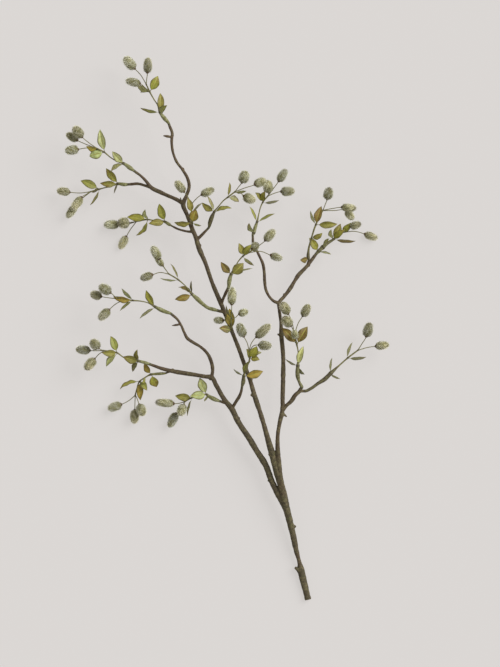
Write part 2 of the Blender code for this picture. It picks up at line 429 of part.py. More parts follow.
def close_mesh(mesh, weld):
    shape = bmesh.new()
    shape.from_mesh(mesh)
    bmesh.ops.remove_doubles(shape, verts=shape.verts, dist=weld)
    bmesh.ops.triangulate(shape, faces=shape.faces)
    bmesh.ops.recalc_face_normals(shape, faces=shape.faces)
    shape.to_mesh(mesh)
    shape.free()


# A round stem along points with their own radii, closed at both ends
def stem(name, points, resolution, home):
    curve = bpy.data.curves.new(name, "CURVE")
    curve.dimensions = "3D"
    curve.bevel_depth = 1.0
    curve.bevel_resolution = resolution
    curve.use_fill_caps = True
    spline = curve.splines.new("POLY")
    spline.points.add(len(points) - 1)
    for point, (place, radius) in zip(spline.points, points):
        point.co = (*place, 1.0)
        point.radius = radius
    guide = bpy.data.objects.new(name + "_guide", curve)
    home.objects.link(guide)
    graph = bpy.context.evaluated_depsgraph_get()
    mesh = bpy.data.meshes.new_from_object(guide.evaluated_get(graph))
    piece = bpy.data.objects.new(name, mesh)
    piece.matrix_world = guide.matrix_world
    home.objects.link(piece)
    bpy.data.objects.remove(guide)
    close_mesh(mesh, 0.00001)
    return piece


# A pointed snag, bud or bud scar from its root to its tip
def spike(name, root, tip, radius, home):
    along = tip - root
    shape = bmesh.new()
    bmesh.ops.create_cone(
        shape, cap_ends=True, cap_tris=True, segments=BUD_SIDES,
        radius1=radius, radius2=0.0, depth=along.length)
    turn = along.to_track_quat("Z", "Y").to_matrix().to_4x4()
    middle = Matrix.Translation((root + tip) / 2)
    bmesh.ops.transform(shape, matrix=middle @ turn, verts=shape.verts)
    mesh = bpy.data.meshes.new(name)
    shape.to_mesh(mesh)
    shape.free()
    piece = bpy.data.objects.new(name, mesh)
    home.objects.link(piece)
    close_mesh(mesh, 0.00001)
    return piece


# How far a tip stands off the level of its root, when its true length is known
def rise(reach, level_distance):
    return math.sqrt(max(0.0, reach * reach - level_distance * level_distance))


# Axes of a leaf: along it, across it and out of its upper face, turned about its length
def leaf_axes(along, turn):
    forward = along.normalized()
    out = Vector((0.0, 0.0, 1.0))
    out = (out - forward * out.dot(forward)).normalized()
    spin = Matrix.Rotation(turn, 3, forward)
    out = spin @ out
    return forward, forward.cross(out), out


# One leaf: a grid pulled to the outline, folded at the rib, bowed, waved and given its thickness
def leaf(name, root, tip, half_width, outline, turn, rng, home):
    along = tip - root
    length = along.length
    forward, across, out = leaf_axes(along, turn)
    stations = len(outline) - 1
    bow = NARROW_BOW if outline is NARROW_OUTLINE else LEAF_BOW
    shape = bmesh.new()
    bmesh.ops.create_grid(shape, x_segments=stations, y_segments=2, size=0.5)
    for vertex in shape.verts:
        station = round((vertex.co.x + 0.5) * stations)
        side = round(vertex.co.y * 2)
        share, wide = outline[station]
        uneven = rng.uniform(1 - LEAF_UNEVEN, 1 + LEAF_UNEVEN)
        half = max(half_width * wide * uneven, LEAF_STALK_HALF_WIDTH)
        blade = 1.0 if 1 < station < stations else 0.0
        lift = bow * length * 4 * share * (1 - share) + blade * abs(side) * half * LEAF_FOLD
        lift += blade * abs(side) * rng.uniform(-LEAF_WAVE, LEAF_WAVE)
        vertex.co = root + forward * (length * share) + across * (side * half) + out * lift
    bmesh.ops.triangulate(shape, faces=shape.faces)
    mesh = bpy.data.meshes.new(name)
    shape.to_mesh(mesh)
    shape.free()
    piece = bpy.data.objects.new(name, mesh)
    home.objects.link(piece)
    wall = piece.modifiers.new("thickness", "SOLIDIFY")
    wall.thickness = LEAF_THICKNESS
    wall.offset = 0.0
    apply_modifiers(piece)
    close_mesh(piece.data, 0.00001)
    return piece


# One catkin: an egg whose covering of scales stands out in relief
def catkin(name, base, tip, radius, home):
    along = tip - base
    shape = bmesh.new()
    bmesh.ops.create_uvsphere(
        shape, u_segments=CATKIN_SEGMENTS, v_segments=CATKIN_RINGS + 1, radius=1.0)
    turn = along.to_track_quat("Z", "Y").to_matrix()
    for vertex in shape.verts:
        x, y, z = vertex.co
        ring = round(math.acos(max(-1.0, min(1.0, z))) / math.pi * (CATKIN_RINGS + 1))
        segment = round(math.atan2(y, x) / (2 * math.pi) * CATKIN_SEGMENTS)
        scale = 1 + CATKIN_RELIEF * (1 if (ring + segment) % 2 else -1)
        girth = radius * scale * (1 - CATKIN_EGG * z)
        place = Vector((x * girth, y * girth, z * along.length / 2))
        vertex.co = turn @ place + (base + tip) / 2
    bmesh.ops.triangulate(shape, faces=shape.faces)
    mesh = bpy.data.meshes.new(name)
    shape.to_mesh(mesh)
    shape.free()
    piece = bpy.data.objects.new(name, mesh)
    home.objects.link(piece)
    return piece


# Faces that are joined to one another across edges
def skins(shape):
    left = set(shape.faces)
    found = []
    while left:
        reached = [left.pop()]
        skin = set(reached)
        while reached:
            for edge in reached.pop().edges:
                for face in edge.link_faces:
                    if face in left and len(edge.link_faces) == 2:
                        left.remove(face)
                        skin.add(face)
                        reached.append(face)
        found.append(skin)
    return found


# Drops what the union leaves beside the one outer skin: sealed hollows and scraps
def keep_skin(mesh):
    shape = bmesh.new()
    shape.from_mesh(mesh)
    bmesh.ops.dissolve_degenerate(shape, edges=shape.edges, dist=0.000002)
    largest = max(skins(shape), key=len)
    loose = [face for face in shape.faces if face not in largest]
    bmesh.ops.delete(shape, geom=loose, context="FACES")
    bmesh.ops.dissolve_limit(
        shape, angle_limit=FLAT_ANGLE, verts=shape.verts, edges=shape.edges, use_dissolve_boundaries=False)
    bmesh.ops.triangulate(shape, faces=shape.faces)
    shape.to_mesh(mesh)
    shape.free()


# One body of a stem and all that grows on it
def fuse(body, grown):
    union = body.modifiers.new("union", "BOOLEAN")
    union.operation = "UNION"
    union.solver = "EXACT"
    union.operand_type = "COLLECTION"
    union.collection = grown
    apply_modifiers(body)
    for piece in list(grown.objects):
        bpy.data.objects.remove(piece)
    bpy.data.collections.remove(grown)
    keep_skin(body.data)
    body.data.shade_smooth()
    body.data.set_sharp_from_angle(angle=SHARP_ANGLE)


# Bud scars stand on alternate sides of the long limbs
def add_bud_scars(points, grown):
    for index in range(2, len(points) - 1, BUD_SPACING):
        place, radius = points[index]
        along = (points[index + 1][0] - place).normalized()
        side = along.cross(Vector((0.0, 0.0, 1.0))).normalized()
        if index % (2 * BUD_SPACING) == 2:
            side = -side
        root = place + side * radius * 0.5
        tip = place + side * (radius + BUD_HEIGHT) + along * BUD_LENGTH
        spike("bud_scar", root, tip, BUD_RADIUS, grown)


# The cut stub lies on a flat spot at the level of the surface
def flatten_underside(mesh):
    shape = bmesh.new()
    shape.from_mesh(mesh)
    everything = shape.verts[:] + shape.edges[:] + shape.faces[:]
    cut = bmesh.ops.bisect_plane(
        shape, geom=everything, dist=0.000001, plane_co=(0, 0, 0), plane_no=(0, 0, -1), clear_outer=True)
    rim = [part for part in cut["geom_cut"] if isinstance(part, bmesh.types.BMEdge)]
    bmesh.ops.holes_fill(shape, edges=rim, sides=0)
    bmesh.ops.triangulate(shape, faces=shape.faces)
    bmesh.ops.recalc_face_normals(shape, faces=shape.faces)
    shape.to_mesh(mesh)
    shape.free()


def build_branch(home):
    grown = new_collection("branch_wood")
    branch = stem("branch", route(LIMBS["leader"]), LIMB_RESOLUTION, home)
    for name, points in LIMBS.items():
        line = route(points)
        if name in LONG_LIMBS:
            add_bud_scars(line, grown)
        if name != "leader":
            resolution = LIMB_RESOLUTION if name in LONG_LIMBS else SIDE_LIMB_RESOLUTION
            stem(name, line, resolution, grown)
    for root, tip, radius in SNAGS:
        spike("snag", at(*root), at(*tip), radius, grown)
    fuse(branch, grown)
    flatten_underside(branch.data)
    branch.data.materials.clear()
    branch.data.materials.append(finish("branch", BARK_COLOUR, 0.85))


# The shoot leaves its limb's end in line with it, a small gap away
def shoot_line(spray):
    limb = route(LIMBS[spray["limb"]])
    end, end_radius = limb[-1]
    onward = (end - limb[-2][0]).normalized()
    line = route(spray["shoot"])
    first = (end + onward * SPRAY_GAP, end_radius)
    second = (end + onward * (SPRAY_GAP + STRAIGHT_START), end_radius)
    return [first, second] + line, line


# Where a leaf or stalk starts inside the shoot: just below its node, each one lower than the last
def rooted(nodes, node, order):
    place = nodes[node][0]
    below = nodes[max(node - 1, 0)][0] - nodes[max(node, 1)][0]
    return place + below.normalized() * STALK_SPACING * (order + 1)


def build_spray(name, spray, rng, home):
    grown = new_collection(name + "_growth")
    whole, nodes = shoot_line(spray)
    body = stem(name, whole, SIDE_LIMB_RESOLUTION, home)
    for index, (node, x, y, width, lift) in enumerate(spray["leaves"]):
        root = rooted(nodes, node, index % 3)
        tip = at(x, y, root.z)
        tip.z += lift * rise(LEAF_LENGTH, (tip - root).length)
        true_width = max(width, LEAF_TRUE_WIDTH)
        turn = max(math.acos(min(1.0, width / true_width)), LEAF_TILT)
        half = true_width / 2 * METRES_PER_PIXEL
        outline = NARROW_OUTLINE if width <= NARROW_LEAF else LEAF_OUTLINE
        leaf("leaf", root, tip, half, outline, turn if index % 2 else -turn, rng, grown)
    for index, row in enumerate(spray["catkins"]):
        node, bend_x, bend_y, base_x, base_y, tip_x, tip_y, width, height = row
        root = rooted(nodes, node, index)
        base = at(base_x, base_y, height)
        tip = at(tip_x, tip_y, height)
        slope = 1 if height > root.z else -1
        tip.z += slope * CATKIN_SLOPE * rise(CATKIN_LENGTH, (tip - base).length)
        sunk = base + (tip - base).normalized() * CATKIN_STALK_SUNK
        bend = at(bend_x, bend_y, (root.z + height) / 2)
        stalk = [(place, CATKIN_STALK_RADIUS) for place in (root, bend, sunk)]
        stem("stalk", stalk, 0, grown)
        catkin("catkin", base, tip, width / 2 * METRES_PER_PIXEL, grown)
    fuse(body, grown)
    body.data.materials.clear()
    shade = rng.uniform(*SPRAY_SHADES)
    colour = [part * shade for part in SPRAY_COLOUR]
    body.data.materials.append(finish(name, colour, 0.7))


def main():
    clear_scene()
    home = new_collection("willow_twig")
    rng = random.Random(SEED)
    build_branch(home)
    for name, spray in SPRAYS.items():
        build_spray(name, spray, rng, home)


main()
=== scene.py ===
# Willow twig in catkin, laid on a pale floor: bark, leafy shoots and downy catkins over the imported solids
import math
import random

import bpy
import numpy as np
from mathutils import Matrix, Vector, noise
from mathutils.kdtree import KDTree


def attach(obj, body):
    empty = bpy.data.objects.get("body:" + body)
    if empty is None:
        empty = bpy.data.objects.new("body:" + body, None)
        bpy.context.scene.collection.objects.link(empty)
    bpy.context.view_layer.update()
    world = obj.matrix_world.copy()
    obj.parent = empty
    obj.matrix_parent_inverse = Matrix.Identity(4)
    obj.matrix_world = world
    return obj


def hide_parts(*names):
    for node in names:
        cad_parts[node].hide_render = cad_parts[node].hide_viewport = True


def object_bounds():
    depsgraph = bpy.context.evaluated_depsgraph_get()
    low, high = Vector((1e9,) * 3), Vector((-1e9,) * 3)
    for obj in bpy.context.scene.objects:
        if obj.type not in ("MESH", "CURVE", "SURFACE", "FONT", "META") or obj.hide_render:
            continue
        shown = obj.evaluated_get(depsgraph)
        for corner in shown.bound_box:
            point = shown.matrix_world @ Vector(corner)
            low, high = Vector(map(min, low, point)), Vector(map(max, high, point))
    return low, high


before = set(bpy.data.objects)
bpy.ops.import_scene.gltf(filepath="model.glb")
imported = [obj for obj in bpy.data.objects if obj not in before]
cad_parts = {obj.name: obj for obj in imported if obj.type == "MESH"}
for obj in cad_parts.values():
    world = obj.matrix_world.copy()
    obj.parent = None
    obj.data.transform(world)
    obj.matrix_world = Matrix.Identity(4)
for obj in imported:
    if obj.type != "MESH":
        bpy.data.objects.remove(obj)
cadLow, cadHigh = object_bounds()
bpy.ops.object.select_all(action="DESELECT")
print("frame loaded:", len(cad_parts), "nodes")

# The plan is read off a picture of 500 by 667 pixels; heights and radii are in metres
plan = {
    "length": 1.092,                    # cut end to the furthest catkin
    "topPixel": 56.0,
    "bottomPixel": 602.0,
    "centrePixel": (222.9, 329.0),      # lies over the origin
    "picture": (500, 667),
}
pixelSize = plan["length"] / (plan["bottomPixel"] - plan["topPixel"])
fullTurn = 6.28     # radians, for a turn or phase drawn at random


def at(x, y, height):
    right, down = plan["centrePixel"]
    return Vector(((x - right) * pixelSize, (down - y) * pixelSize, height))


def route(points):
    return [(at(x, y, height), radius) for x, y, height, radius in points]


def hexLinear(code):
    parts = [int(code[i:i + 2], 16) / 255 for i in (0, 2, 4)]
    return [p / 12.92 if p <= 0.04045 else ((p + 0.055) / 1.055) ** 2.4 for p in parts] + [1.0]


# Links each input to an output, or to the first open output of a node
def wire(tree, node, links):
    for name, source in links.items():
        if isinstance(source, bpy.types.Node):
            source = next(output for output in source.outputs if output.enabled)
        tree.links.new(source, node.inputs[name])


def addNode(tree, kind, sockets=None, links=None, **settings):
    node = tree.nodes.new("ShaderNode" + kind)
    for name, value in settings.items():
        setattr(node, name, value)
    for name, value in (sockets or {}).items():
        node.inputs[name].default_value = value
    wire(tree, node, links or {})
    return node


def newMaterial(name, sockets=None):
    material = bpy.data.materials.new(name)
    material.use_nodes = True
    tree = material.node_tree
    surface = tree.nodes["Principled BSDF"]
    for socket, value in (sockets or {}).items():
        surface.inputs[socket].default_value = value
    return material, tree, surface


def barkFinish():
    # Young willow bark: smooth olive-brown skin with fine cracks, pale corky dots and a green bloom
    material, tree, surface = newMaterial("willowBark")
    grain = addNode(tree, "Attribute", attribute_name="grain").outputs["Vector"]
    girth = addNode(tree, "Attribute", attribute_name="girth").outputs["Fac"]
    place = addNode(tree, "TexCoord").outputs["Object"]
    age = addNode(tree, "MapRange", {"From Min": 0.0028, "From Max": 0.0066}, {"Value": girth})
    # cracks are about 1 mm apart and five times as long
    drawn = addNode(tree, "Mapping", {"Scale": (0.2, 1.0, 1.0)}, {"Vector": grain})
    cracks = addNode(tree, "TexNoise", {"Scale": 950.0, "Detail": 4.0, "Roughness": 0.6}, {"Vector": drawn})
    crackMask = addNode(tree, "MapRange", {"From Min": 0.5, "From Max": 0.36}, {"Value": cracks})
    # blotches 8 to 10 mm across, where the skin is bleached or dark
    blotch = addNode(tree, "TexNoise", {"Scale": 115.0, "Detail": 5.0, "Roughness": 0.62}, {"Vector": place})
    pale = addNode(tree, "MapRange", {"From Min": 0.48, "From Max": 0.7}, {"Value": blotch})
    # rough bands run round the stem every 5 mm or so
    banded = addNode(tree, "Mapping", {"Scale": (1.0, 0.22, 0.22)}, {"Vector": grain})
    bands = addNode(tree, "TexNoise", {"Scale": 240.0, "Detail": 5.0, "Roughness": 0.68}, {"Vector": banded})
    bandMask = addNode(
        tree, "MapRange", {"From Min": 0.55, "From Max": 0.72, "To Max": 0.5}, {"Value": bands})
    dimMask = addNode(tree, "MapRange", {"From Min": 0.47, "From Max": 0.3, "To Max": 0.55}, {"Value": bands})
    algae = addNode(tree, "TexNoise", {"Scale": 130.0, "Detail": 3.0}, {"Vector": place})
    algaeMask = addNode(
        tree, "MapRange", {"From Min": 0.5, "From Max": 0.75, "To Max": 0.6}, {"Value": algae})
    # corky dots every 5 mm, wider than they are long
    dotPlace = addNode(tree, "Mapping", {"Scale": (1.9, 1.0, 1.0)}, {"Vector": grain})
    dots = addNode(tree, "TexVoronoi", {"Scale": 210.0, "Randomness": 1.0}, {"Vector": dotPlace})
    dotSize = addNode(tree, "SeparateXYZ", None, {0: dots.outputs["Color"]})
    dotRoom = addNode(tree, "Math", {1: 0.28, 2: -0.08}, {0: dotSize}, operation="MULTIPLY_ADD")
    dotInside = addNode(tree, "Math", None, {0: dotRoom, 1: dots}, operation="SUBTRACT")
    dotMask = addNode(tree, "MapRange", {"From Min": 0.0, "From Max": 0.06}, {"Value": dotInside})
    algaeShare = addNode(tree, "Math", None, {0: algaeMask, 1: age}, operation="MULTIPLY")
    crackShare = addNode(tree, "Math", {1: 0.75}, {0: crackMask}, operation="MULTIPLY")
    colour = addNode(
        tree, "Mix", {6: hexLinear("5A4732"), 7: hexLinear("50472F")}, {0: age}, data_type="RGBA")
    # over the wood's own colour lie bleached skin, pale and dark bands, algae, dots and cracks
    for mask, shade in (
            (pale, "756B4B"), (bandMask, "8A8259"), (dimMask, "342D1E"), (algaeShare, "5E6033"),
            (dotMask, "80755A"), (crackShare, "1E190F")):
        colour = addNode(tree, "Mix", {7: hexLinear(shade)}, {0: mask, 6: colour}, data_type="RGBA")
    dull = addNode(tree, "MapRange", {"To Min": 0.62, "To Max": 0.9}, {"Value": blotch})
    raised = addNode(tree, "Math", {1: 0.8}, {0: bandMask, 2: dotMask}, operation="MULTIPLY_ADD")
    height = addNode(tree, "Math", {1: -0.8}, {0: crackMask, 2: raised}, operation="MULTIPLY_ADD")
    bump = addNode(tree, "Bump", {"Strength": 0.6, "Distance": 0.0003}, {"Height": height})
    wire(tree, surface, {"Base Color": colour, "Roughness": dull, "Normal": bump})
    return material


def cutWoodFinish():
    # Sawn end grain of green willow: cream wood, tan rings 1.5 mm apart, a darker pith and fine saw scratches
    material, tree, surface = newMaterial("sawnWillow", {"Roughness": 0.72})
    grain = addNode(tree, "Attribute", attribute_name="grain").outputs["Vector"]
    flat = addNode(tree, "Mapping", {"Scale": (0.0, 1.0, 1.0)}, {"Vector": grain})
    fromPith = addNode(tree, "VectorMath", None, {0: flat}, operation="LENGTH")
    uneven = addNode(tree, "TexNoise", {"Scale": 420.0, "Detail": 2.0}, {"Vector": flat})
    radius = addNode(tree, "Math", {1: 0.0011}, {0: uneven, 2: fromPith}, operation="MULTIPLY_ADD")
    rings = addNode(tree, "Math", {1: 0.00075}, {0: radius}, operation="PINGPONG")
    ringMask = addNode(tree, "MapRange", {"From Min": 0.00045, "From Max": 0.00075}, {"Value": rings})
    pith = addNode(tree, "MapRange", {"From Min": 0.0011, "From Max": 0.0007}, {"Value": fromPith})
    wood = addNode(
        tree, "Mix", {6: hexLinear("C9B489"), 7: hexLinear("A5865A")}, {0: ringMask}, data_type="RGBA")
    cored = addNode(tree, "Mix", {7: hexLinear("7B5B38")}, {0: pith, 6: wood}, data_type="RGBA")
    place = addNode(tree, "TexCoord").outputs["Object"]
    scratch = addNode(tree, "TexWave", {"Scale": 700.0, "Distortion": 3.0, "Detail": 2.0}, {"Vector": place})
    bump = addNode(tree, "Bump", {"Strength": 0.3, "Distance": 0.0001}, {"Height": scratch.outputs["Fac"]})
    wire(tree, surface, {"Base Color": cored, "Normal": bump})
    return material


def shootFinish():
    # This year's shoots and stalks: slightly waxy green-brown skin, browner and darker where it thickens
    material, tree, surface = newMaterial("shootSkin")
    girth = addNode(tree, "Attribute", attribute_name="girth").outputs["Fac"]
    node = addNode(tree, "Attribute", attribute_name="nodeShade").outputs["Fac"]
    place = addNode(tree, "TexCoord").outputs["Object"]
    age = addNode(tree, "MapRange", {"From Min": 0.0010, "From Max": 0.0026}, {"Value": girth})
    streak = addNode(tree, "TexNoise", {"Scale": 240.0, "Detail": 4.0, "Roughness": 0.6}, {"Vector": place})
    streakMask = addNode(tree, "MapRange", {"From Min": 0.42, "From Max": 0.64}, {"Value": streak})
    skin = addNode(tree, "Mix", {6: hexLinear("6F6B3F"), 7: hexLinear("524630")}, {0: age}, data_type="RGBA")
    mottled = addNode(tree, "Mix", {7: hexLinear("878248")}, {0: streakMask, 6: skin}, data_type="RGBA")
    # the swollen foot of a shoot is still sheathed, grey-green with olive streaks
    sheath = addNode(tree, "Attribute", attribute_name="sheath").outputs["Fac"]
    streaked = addNode(
        tree, "Mix", {6: hexLinear("6C6A38"), 7: hexLinear("9B9B70")}, {0: streakMask}, data_type="RGBA")
    sheathed = addNode(tree, "Mix", None, {0: sheath, 6: mottled, 7: streaked}, data_type="RGBA")
    dark = addNode(tree, "Mix", {7: hexLinear("382F1E")}, {0: node, 6: sheathed}, data_type="RGBA")
    fine = addNode(tree, "TexNoise", {"Scale": 1500.0, "Detail": 2.0}, {"Vector": place})
    bump = addNode(tree, "Bump", {"Strength": 0.35, "Distance": 0.0001}, {"Height": fine})
    dull = addNode(tree, "MapRange", {"To Min": 0.5, "To Max": 0.75}, {"Value": streak})
    wire(tree, surface, {"Base Color": dark, "Normal": bump, "Roughness": dull})
    return material


def leafFinish(underside):
    # Willow leaf: the top is softly glossy with sunken paler veins, the underside is matt, greyer and downy
    name, sheen = ("leafUnderside", 0.25) if underside else ("leafTop", 0.0)
    material, tree, surface = newMaterial(name, {"Sheen Weight": sheen})
    tone = addNode(tree, "Attribute", attribute_name="leafTone").outputs["Color"]
    place = addNode(tree, "TexCoord").outputs["Object"]
    sheet = addNode(tree, "UVMap", uv_map="UVMap").outputs["UV"]
    parts = addNode(tree, "SeparateXYZ", None, {0: sheet})
    offRib = addNode(tree, "Math", {1: 0.5}, {0: parts.outputs[1]}, operation="SUBTRACT")
    side = addNode(tree, "Math", None, {0: offRib}, operation="ABSOLUTE")
    # side veins leave the rib every 3 mm and slant towards the tip
    slant = addNode(tree, "Math", {1: -4.2}, {0: side}, operation="MULTIPLY")
    march = addNode(tree, "Math", {1: 10.0}, {0: parts, 2: slant}, operation="MULTIPLY_ADD")
    vein = addNode(tree, "Math", {1: 0.5}, {0: march}, operation="PINGPONG")
    veinMask = addNode(tree, "MapRange", {"From Min": 0.12, "From Max": 0.02, "To Max": 0.8}, {"Value": vein})
    ribMask = addNode(tree, "MapRange", {"From Min": 0.06, "From Max": 0.025}, {"Value": side})
    lines = addNode(tree, "Math", None, {0: veinMask, 1: ribMask}, operation="MAXIMUM")
    # the net between the veins has meshes of about 1 mm
    net = addNode(tree, "TexVoronoi", {"Scale": 950.0}, {"Vector": place}, feature="DISTANCE_TO_EDGE")
    netMask = addNode(tree, "MapRange", {"From Min": 0.09, "From Max": 0.0, "To Max": 0.35}, {"Value": net})
    blotch = addNode(tree, "TexNoise", {"Scale": 150.0, "Detail": 4.0, "Roughness": 0.6}, {"Vector": place})
    blotchMask = addNode(
        tree, "MapRange", {"From Min": 0.32, "From Max": 0.66, "To Min": 0.66, "To Max": 1.3},
        {"Value": blotch})
    blotched = addNode(tree, "VectorMath", None, {0: tone, 3: blotchMask}, operation="SCALE")
    rust = addNode(tree, "Attribute", attribute_name="rust").outputs["Fac"]
    spots = addNode(tree, "TexNoise", {"Scale": 210.0, "Detail": 4.0, "Roughness": 0.7}, {"Vector": place})
    nearTip = addNode(tree, "Math", {1: 0.22}, {0: parts, 2: spots}, operation="MULTIPLY_ADD")
    rustReach = addNode(tree, "Math", {1: 0.38}, {0: rust, 2: nearTip}, operation="MULTIPLY_ADD")
    rustMask = addNode(
        tree, "MapRange", {"From Min": 0.74, "From Max": 0.88, "To Max": 0.85}, {"Value": rustReach})
    edgeRough = addNode(tree, "Math", {1: 0.32}, {0: blotch, 2: side}, operation="MULTIPLY_ADD")
    edgeMask = addNode(
        tree, "MapRange", {"From Min": 0.46, "From Max": 0.62, "To Max": 0.9}, {"Value": edgeRough})
    veinTone = "ADAD7C" if underside else "AFAA4E"
    colour = blotched
    for mask, shade in ((rustMask, "7B5422"), (edgeMask, "4B3F1C"), (lines, veinTone), (netMask, veinTone)):
        colour = addNode(tree, "Mix", {7: hexLinear(shade)}, {0: mask, 6: colour}, data_type="RGBA")
    if underside:
        colour = addNode(tree, "Mix", {0: 0.4, 7: hexLinear("A0A178")}, {6: colour}, data_type="RGBA")
    gloss = addNode(
        tree, "MapRange", {"To Min": 0.75 if underside else 0.42, "To Max": 0.9 if underside else 0.66},
        {"Value": blotch})
    ridge = addNode(tree, "Math", {1: 0.3}, {0: netMask, 2: lines}, operation="MULTIPLY_ADD")
    bump = addNode(
        tree, "Bump", {"Strength": 0.5, "Distance": 0.0002}, {"Height": ridge}, invert=not underside)
    wire(tree, surface, {"Base Color": colour, "Roughness": gloss, "Normal": bump})
    return material


# A catkin is darkest olive at its foot; a few are brown at the tip too, where the husk has only just come off
def shadeEnds(tree, colour):
    dusk = addNode(tree, "Attribute", attribute_name="dusk").outputs["Fac"]
    towards = addNode(tree, "Attribute", attribute_name="towardsTip").outputs["Fac"]
    foot = addNode(tree, "MapRange", {"From Min": 0.1, "From Max": -0.95, "To Max": 0.4}, {"Value": towards})
    tip = addNode(tree, "MapRange", {"From Min": 0.35, "From Max": 0.95}, {"Value": towards})
    share = addNode(tree, "Math", None, {0: dusk, 1: tip}, operation="MULTIPLY")
    for mask, shade in ((foot, "66652F"), (share, "4E3D2A")):
        colour = addNode(tree, "Mix", {7: hexLinear(shade)}, {0: mask, 6: colour}, data_type="RGBA")
    return colour


def coreFinish():
    # The catkin's axis crowded with unopened flowers: dull olive, shaded deeply between them, and darkened
    # all over by painted shade from the down above it
    material, tree, surface = newMaterial("catkinCore", {"Roughness": 0.85})
    place = addNode(tree, "TexCoord").outputs["Object"]
    tone = addNode(tree, "Attribute", attribute_name="catkinTone").outputs["Fac"]
    raised = addNode(tree, "Attribute", attribute_name="reach").outputs["Fac"]
    grain = addNode(tree, "TexNoise", {"Scale": 700.0, "Detail": 3.0}, {"Vector": place})
    colour = addNode(
        tree, "Mix", {6: hexLinear("CACA9C"), 7: hexLinear("D6CB90")}, {0: tone}, data_type="RGBA")
    speckMask = addNode(
        tree, "MapRange", {"From Min": 0.58, "From Max": 0.42, "To Max": 0.6}, {"Value": grain})
    tuft = addNode(tree, "Attribute", attribute_name="tuft").outputs["Fac"]
    for mask, shade in ((raised, "E3E2BC"), (speckMask, "8A8350"), (tuft, "949058")):
        colour = addNode(tree, "Mix", {7: hexLinear(shade)}, {0: mask, 6: colour}, data_type="RGBA")
    # painted shade: the core is darkened as deeply as the shade under this catkin's down
    deep = addNode(tree, "Attribute", attribute_name="shadeUnderDown").outputs["Fac"]
    shaded = addNode(tree, "VectorMath", None, {0: colour, 3: deep}, operation="SCALE")
    bump = addNode(tree, "Bump", {"Strength": 0.5, "Distance": 0.0003}, {"Height": grain})
    wire(tree, surface, {"Base Color": shadeEnds(tree, shaded), "Normal": bump})
    return material


def bractFinish():
    # The scale under each flower: thin and dry, olive at its foot and dark brown at its tip
    material, tree, surface = newMaterial("catkinBract", {"Roughness": 0.7})
    reach = addNode(tree, "Attribute", attribute_name="reach").outputs["Fac"]
    place = addNode(tree, "TexCoord").outputs["Object"]
    grain = addNode(tree, "TexNoise", {"Scale": 300.0, "Detail": 2.0}, {"Vector": place})
    mask = addNode(tree, "Math", {1: 0.6}, {0: grain, 2: reach}, operation="MULTIPLY_ADD")
    share = addNode(tree, "MapRange", {"From Min": 0.4, "From Max": 1.1}, {"Value": mask})
    colour = addNode(
        tree, "Mix", {6: hexLinear("B0AD78"), 7: hexLinear("7E7048")}, {0: share}, data_type="RGBA")
    wire(tree, surface, {"Base Color": colour})
    return material


def downFinish():
    # Silky down: fine hairs with a sheen, silver where they thin out, darkened towards an olive root by
    # painted shade where they crowd
    material, tree, surface = newMaterial("silkyDown", {"Roughness": 0.6, "Sheen Weight": 0.8})
    reach = addNode(tree, "Attribute", attribute_name="reach").outputs["Fac"]
    tone = addNode(tree, "Attribute", attribute_name="catkinTone").outputs["Fac"]
    root = addNode(tree, "Mix", {6: hexLinear("EFEECC"), 7: hexLinear("F2E9B8")}, {0: tone}, data_type="RGBA")
    tip = addNode(tree, "Mix", {6: hexLinear("FDFFEC"), 7: hexLinear("FFFADA")}, {0: tone}, data_type="RGBA")
    # painted shade: the hair roots are darkened as deeply as the shade under this catkin's down
    deep = addNode(tree, "Attribute", attribute_name="shadeUnderDown").outputs["Fac"]
    shaded = addNode(tree, "VectorMath", None, {0: root, 3: deep}, operation="SCALE")
    colour = addNode(tree, "Mix", None, {0: reach, 6: shaded, 7: tip}, data_type="RGBA")
    # where a flower is about to open its hairs are stained olive by what shows between them
    tuft = addNode(tree, "Attribute", attribute_name="tuft").outputs["Fac"]
    stain = addNode(
        tree, "Mix", {6: hexLinear("98955E"), 7: hexLinear("CDCA98")}, {0: reach}, data_type="RGBA")
    mottled = addNode(tree, "Mix", None, {0: tuft, 6: colour, 7: stain}, data_type="RGBA")
    wire(tree, surface, {"Base Color": shadeEnds(tree, mottled)})
    return material


def budScaleFinish():
    # The husk that the catkin broke out of: stiff, smooth and slightly shiny, chestnut with an olive foot
    material, tree, surface = newMaterial("budHusk", {"Roughness": 0.42})
    place = addNode(tree, "TexCoord").outputs["Object"]
    grain = addNode(tree, "TexNoise", {"Scale": 260.0, "Detail": 3.0}, {"Vector": place})
    colour = addNode(
        tree, "Mix", {6: hexLinear("3E2A18"), 7: hexLinear("6D5630")}, {0: grain}, data_type="RGBA")
    wire(tree, surface, {"Base Color": colour})
    return material


willowBark = barkFinish()
sawnWillow = cutWoodFinish()
shootSkin = shootFinish()
leafTop = leafFinish(False)
leafUnderside = leafFinish(True)
catkinCore = coreFinish()
catkinBract = bractFinish()
silkyDown = downFinish()
budHusk = budScaleFinish()
print("materials made")


def selectOnly(*things):
    bpy.ops.object.select_all(action="DESELECT")
    for thing in things:
        thing.select_set(True)
    bpy.context.view_layer.objects.active = things[0]


def joined(things, name):
    selectOnly(*things)
    if len(things) > 1:
        bpy.ops.object.join()
    piece = bpy.context.object
    piece.name = name
    piece.data.name = name
    return piece


def setNumbers(mesh, name, values):
    field = mesh.attributes.get(name) or mesh.attributes.new(name, "FLOAT", "POINT")
    if np.isscalar(values):
        values = np.full(len(mesh.vertices), values)
    field.data.foreach_set("value", np.asarray(values, dtype=np.float32).ravel())


def setVectors(mesh, name, values):
    field = mesh.attributes.get(name) or mesh.attributes.new(name, "FLOAT_VECTOR", "POINT")
    field.data.foreach_set("vector", np.asarray(values, dtype=np.float32).ravel())


def newPiece(name, places, faces, *materials):
    mesh = bpy.data.meshes.new(name)
    mesh.from_pydata(np.asarray(places).tolist(), [], faces)
    for material in materials:
        mesh.materials.append(material)
    mesh.shade_smooth()
    piece = bpy.data.objects.new(name, mesh)
    bpy.context.collection.objects.link(piece)
    return piece


